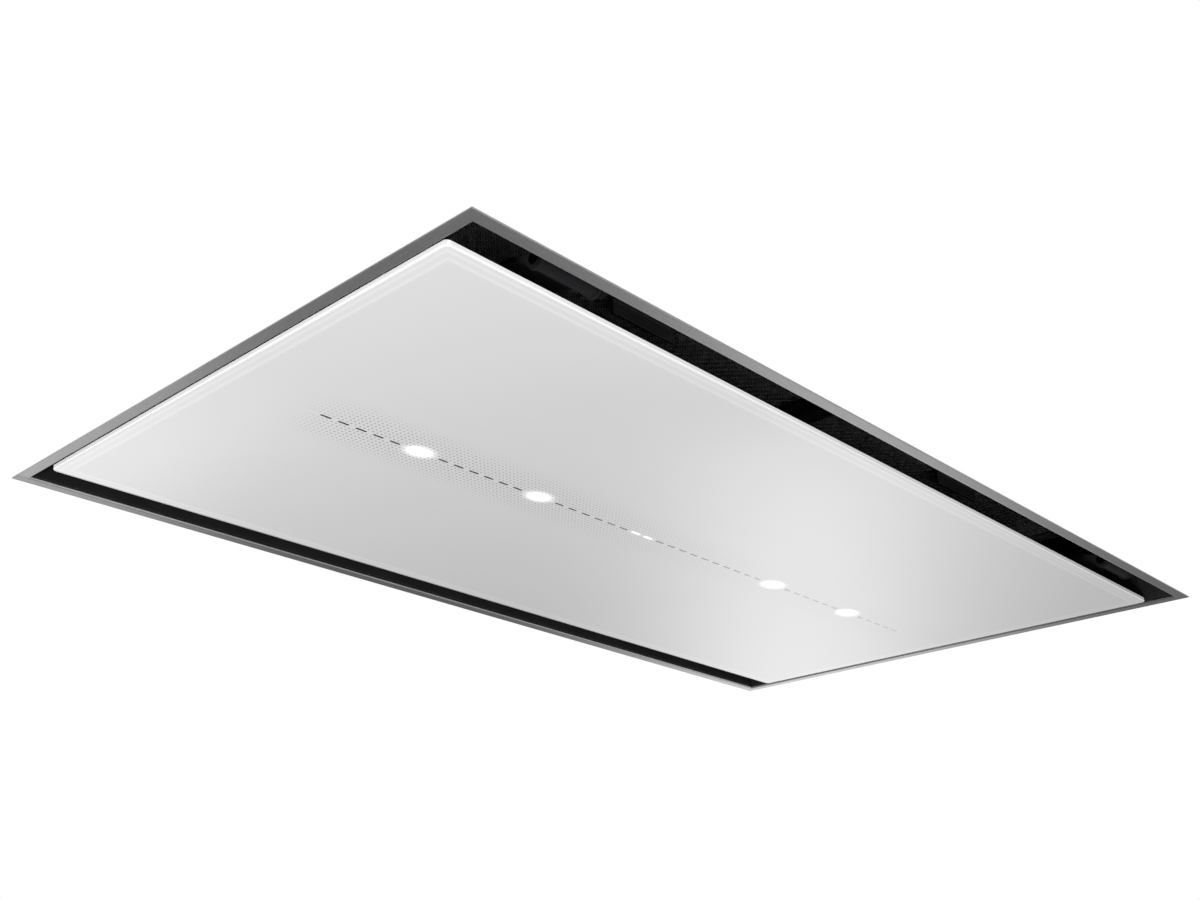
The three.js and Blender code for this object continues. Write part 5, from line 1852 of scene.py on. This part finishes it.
@dataclass
class Outlet(Assembly):
    """Duct spigot with its lip seal and its two non-return flaps."""

    outer: float = 74.5
    wall: float = 1.5
    collar: float = 82.5
    collar_sheet: float = 1.6
    length: float = 60.0
    level: float = 211.25
    middle_y: float = -75.142
    bead_rows: Pair = (18.0, 42.0)
    bead_shape: Outline = ((-2.0, 0.0), (-0.8, 0.4), (0.0, 0.5), (0.8, 0.4), (2.0, 0.0))
    seal_foot: float = 26.0
    seal_shape: Outline = ((0.0, 0.0), (0.4, 0.9), (2.0, 1.3), (3.6, 0.9), (4.0, 0.0))
    screw: float = 2.6
    spindle_radius: float = 2.0
    spindle_setback: float = 12.0
    rib_half: float = 1.3
    rib_height: float = 1.3
    rib_start: float = 9.0
    ribs: Outline = ((-38.0, 19.0), (-6.0, 25.0), (38.0, 19.0))
    flap_face: float = 0.75

    @property
    def foot(self) -> float:
        """Where the spigot's collar lies on the motor box, along x."""
        return span("outlet_spigot")[0].x

    def ring(self, profile: Outline) -> Draft:
        """A hollow turned shape round the duct's axis."""
        return Draft().turned(profile, (self.middle_y, self.level), 96, Axis.X, hollow=True)

    def spigot(self) -> None:
        """The moulded tube: a rounded collar, two stop beads and a bevelled mouth, with its lip seal."""
        foot, inner, outer, collar = self.foot, self.outer - self.wall, self.outer, self.collar
        seat, end = foot + self.collar_sheet, foot + self.length
        profile = [(inner, foot), (collar - 0.4, foot), (collar, foot + 0.4), (collar, seat - 0.5)]
        profile += [(collar - 0.5, seat), (outer + 2.2, seat), (outer + 0.7, seat + 0.7), (outer, seat + 2.4)]
        for row in self.bead_rows:
            profile += [(outer + rise, foot + row + shift) for shift, rise in self.bead_shape]
        profile += [(outer, end - 1.2), (outer - 0.5, end - 0.2), (outer - 0.9, end), (inner, end)]
        self.put("spigot", self.ring(profile), BLACK_PLASTIC, ["outlet_spigot"])
        seal = [(outer + rise, foot + self.seal_foot + shift) for shift, rise in self.seal_shape]
        self.put("duct_seal", self.ring(seal), FOAM)
        spots = circle((self.middle_y, self.level), (outer + collar) / 2 + 1.0, 6)
        self.screws("spigot_screws", [(seat, y, z) for y, z in spots], self.screw, Axis.X)

    def spindle(self) -> None:
        """The plated spindle that both flaps swing on."""
        half = self.outer - self.wall / 2
        profile = [(self.spindle_radius, self.level + side * half) for side in SIGNS]
        centre = (self.foot + self.spindle_setback, self.middle_y)
        self.put("flap_spindle", Draft().turned(profile, centre, 24), ZINC)

    def flap(self, face: Side) -> None:
        """A flap with three moulded ribs on its outer face.

        Args:
            face: Which flap it is.
        """
        self.ease(f"flap_{face}", GREY_PLASTIC, f"{face}_flap", ease=0.0)
        x = self.foot + self.spindle_setback + self.flap_face
        draft = Draft()
        for rise, half in self.ribs:
            spot = (x, self.middle_y + face.sign * (self.rib_start + half), self.level + rise)
            draft.beads([spot], Pressing(half, self.rib_half, self.rib_height), Axis.X)
        self.put(f"flap_ribs_{face}", draft, GREY_PLASTIC, body=f"{face}_flap")

    def build(self) -> None:
        """Builds the spigot, the spindle and the flaps."""
        self.spigot()
        self.spindle()
        for face in FACES:
            self.flap(face)


@dataclass
class Electronics(Assembly):
    """Box with the control board and the mains cable's gland."""

    corner: float = 5.0
    rib_margin: float = 26.0
    rib_half: float = 1.6
    rib_height: float = 0.9
    rib_pitch: float = 10.0
    ribs: int = 11
    screw: float = 3.4
    screw_inset: float = 9.0
    louvre: Pressing = Pressing(1.9, 9.0, 1.1)
    louvre_level: float = 149.0
    louvre_pitch: float = 9.0
    louvre_count: int = 9
    gland_x: float = -325.0
    gland_level: float = 147.0
    gland_length: float = 19.0
    gland_bore: float = 4.9
    shank: float = 7.7
    hexagon: float = 11.1
    hexagon_height: float = 6.0
    nut: float = 9.0
    nut_mouth: float = 6.9
    nut_ribs: int = 20
    insert: Pair = (4.5, 5.0)
    insert_depths: Pair = (0.6, 9.0)

    def lid(self) -> None:
        """A lid with a bevelled edge, a ribbed field and four screws."""
        low, high = span("electronics_lid")
        half_x, half_y = (high.x - low.x) / 2, (high.y - low.y) / 2
        x, y = middle = ((low.x + high.x) / 2, (low.y + high.y) / 2)
        steps = [(0.3, low.z), (0.0, low.z + 0.3), (0.0, high.z - 0.9), (0.5, high.z - 0.2), (1.1, high.z)]
        draft = Draft().stepped(steps, (half_x, half_y), self.corner, 6, middle)
        self.put("case_lid", draft, GREY_PLASTIC, ["electronics_lid"])
        rib = Pressing(half_x - self.rib_margin, self.rib_half, self.rib_height)
        draft = Draft().beads([(x, y + shift, high.z) for shift in spaced(self.rib_pitch, self.ribs)], rib)
        self.put("case_ribs", draft, GREY_PLASTIC)
        reach_x, reach_y = half_x - self.screw_inset, half_y - self.screw_inset
        spots = [(x + a * reach_x, y + b * reach_y, high.z) for a in SIGNS for b in SIGNS]
        self.screws("case_screws", spots, self.screw)

    def louvres(self) -> None:
        """Rows of small hoods let warm air out of the box."""
        draft = Draft()
        for side, corner in zip(SIGNS, span("electronics_box")):
            spots = [(corner.x, y, self.louvre_level) for y in spaced(self.louvre_pitch, self.louvre_count)]
            draft.beads(spots, self.louvre, Axis.X, side)
        self.put("case_louvres", draft, GREY_PLASTIC)

    def gland(self) -> None:
        """The mains cable's gland: a hexagon body, a knurled dome nut and its rubber insert."""
        low, high = span("mains_gland")
        centre, bore = (self.gland_x, self.gland_level), self.gland_bore
        hexagon, nut = self.hexagon, self.nut
        seat = low.y + self.gland_length
        step = seat - self.hexagon_height
        body = [(bore, seat), (hexagon, seat), (hexagon, step + 1.0), (hexagon - 1.7, step), (bore, step)]
        shank = [(bore, high.y), (self.shank, high.y), (self.shank, seat), (bore, seat)]
        dome = [(bore, step), (nut, step - 0.2), (nut, step - 7.6), (nut - 0.6, step - 9.6)]
        dome += [(self.nut_mouth, low.y), (bore, low.y)]
        draft = Draft()
        for profile, steps in ((body, 6), (shank, 32), (dome, 40)):
            draft.turned(profile, centre, steps, Axis.Y, hollow=True)
        for spot in circle(centre, nut, self.nut_ribs):
            draft.turned([(0.5, step - 1.2), (0.5, step - 7.0)], spot, 8, Axis.Y)
        self.put("cable_gland", draft, GREY_PLASTIC, ["mains_gland"])
        inner, outer = self.insert
        near, far = (low.y + depth for depth in self.insert_depths)
        insert = [(inner, near), (outer, near), (outer, far), (inner, far)]
        self.put("gland_insert", Draft().turned(insert, centre, 32, Axis.Y, hollow=True), FOAM)

    def build(self) -> None:
        """Dresses the box, its lid, the board and the gland."""
        self.ease("electronics_box", GREY_PLASTIC, ease=0.4)
        self.lid()
        self.louvres()
        self.ease("control_board", BOARD, ease=0.0)
        self.gland()


@dataclass
class Mountings(Assembly):
    """Hanger brackets and the clamps that swing out over the ceiling."""

    hanger_sheet: float = 2.5
    bolt_inset: float = 13.0
    bolt_aside: float = 12.0
    bolt_radius: float = 5.8
    bolt_height: float = 4.6
    screw_radius: float = 2.5
    head_radius: float = 4.5
    head_height: float = 3.6
    collar_level: float = 5.4
    collar_height: float = 1.3
    pitch: float = 1.0
    thread_depth: float = 0.4

    def hanger(self, index: int) -> None:
        """A slotted bracket with two bolts through its foot.

        Args:
            index: The bracket's number.
        """
        node = f"hanger_bracket_{index}"
        self.ease(node, SHEET_ZINC, ease=0.35)
        low, high = span(node)
        foot_y = high.y - self.bolt_inset if high.y > 0 else low.y + self.bolt_inset
        draft = Draft()
        for side in SIGNS:
            spot = ((low.x + high.x) / 2 + side * self.bolt_aside, foot_y, low.z + self.hanger_sheet)
            draft.bolt(spot, self.bolt_radius, self.bolt_height)
        self.put(f"hanger_bolts_{index}", draft, ZINC)

    def clamp(self, index: int) -> None:
        """A clamp's long screw with its head, collar and thread, and its wing.

        Args:
            index: The clamp's number.
        """
        node = f"clamp_screw_{index}"
        low, high = span(node)
        centre = ((low.x + high.x) / 2, (low.y + high.y) / 2)
        radius, head = self.screw_radius, self.head_radius
        under, seat = low.z + self.head_height, low.z + self.collar_level
        thread = seat + self.collar_height
        draft = Draft().screw((*centre, under), head, self.head_height, side=-1)
        profile = [(radius, under), (radius, seat), (head, seat), (head, thread), (radius, thread)]
        for i in range(math.floor((high.z - thread - self.pitch) / self.pitch)):
            z = thread + self.pitch * (i + 0.5)
            profile += [(radius, z), (radius - self.thread_depth, z + self.pitch / 2)]
        profile += [(radius - 2 * self.thread_depth, high.z)]
        self.put(f"long_screw_{index}", draft.turned(profile, centre, 20), ZINC, [node], f"screw_{index}")
        self.ease(f"clamp_wing_{index}", ZINC, f"wing_{index}", ease=0.3)

    def build(self) -> None:
        """Dresses the four corners."""
        for index in range(1, 5):
            self.hanger(index)
            self.clamp(index)


def main() -> None:
    """Builds the studio and the hood, one sub-assembly after the other."""
    logging.basicConfig(level=logging.INFO, format="%(name)s: %(message)s", stream=sys.stdout)
    Studio().build()
    casing = (TrimFrame, GlassPanel, Plenum, FilterBank, PanelHinges, MotorBox)
    for assembly in (*casing, Blower, Outlet, Electronics, Mountings):
        LOG.info("%s", assembly.__doc__.splitlines()[0])
        assembly().build()


if __name__ == "__main__":
    main()
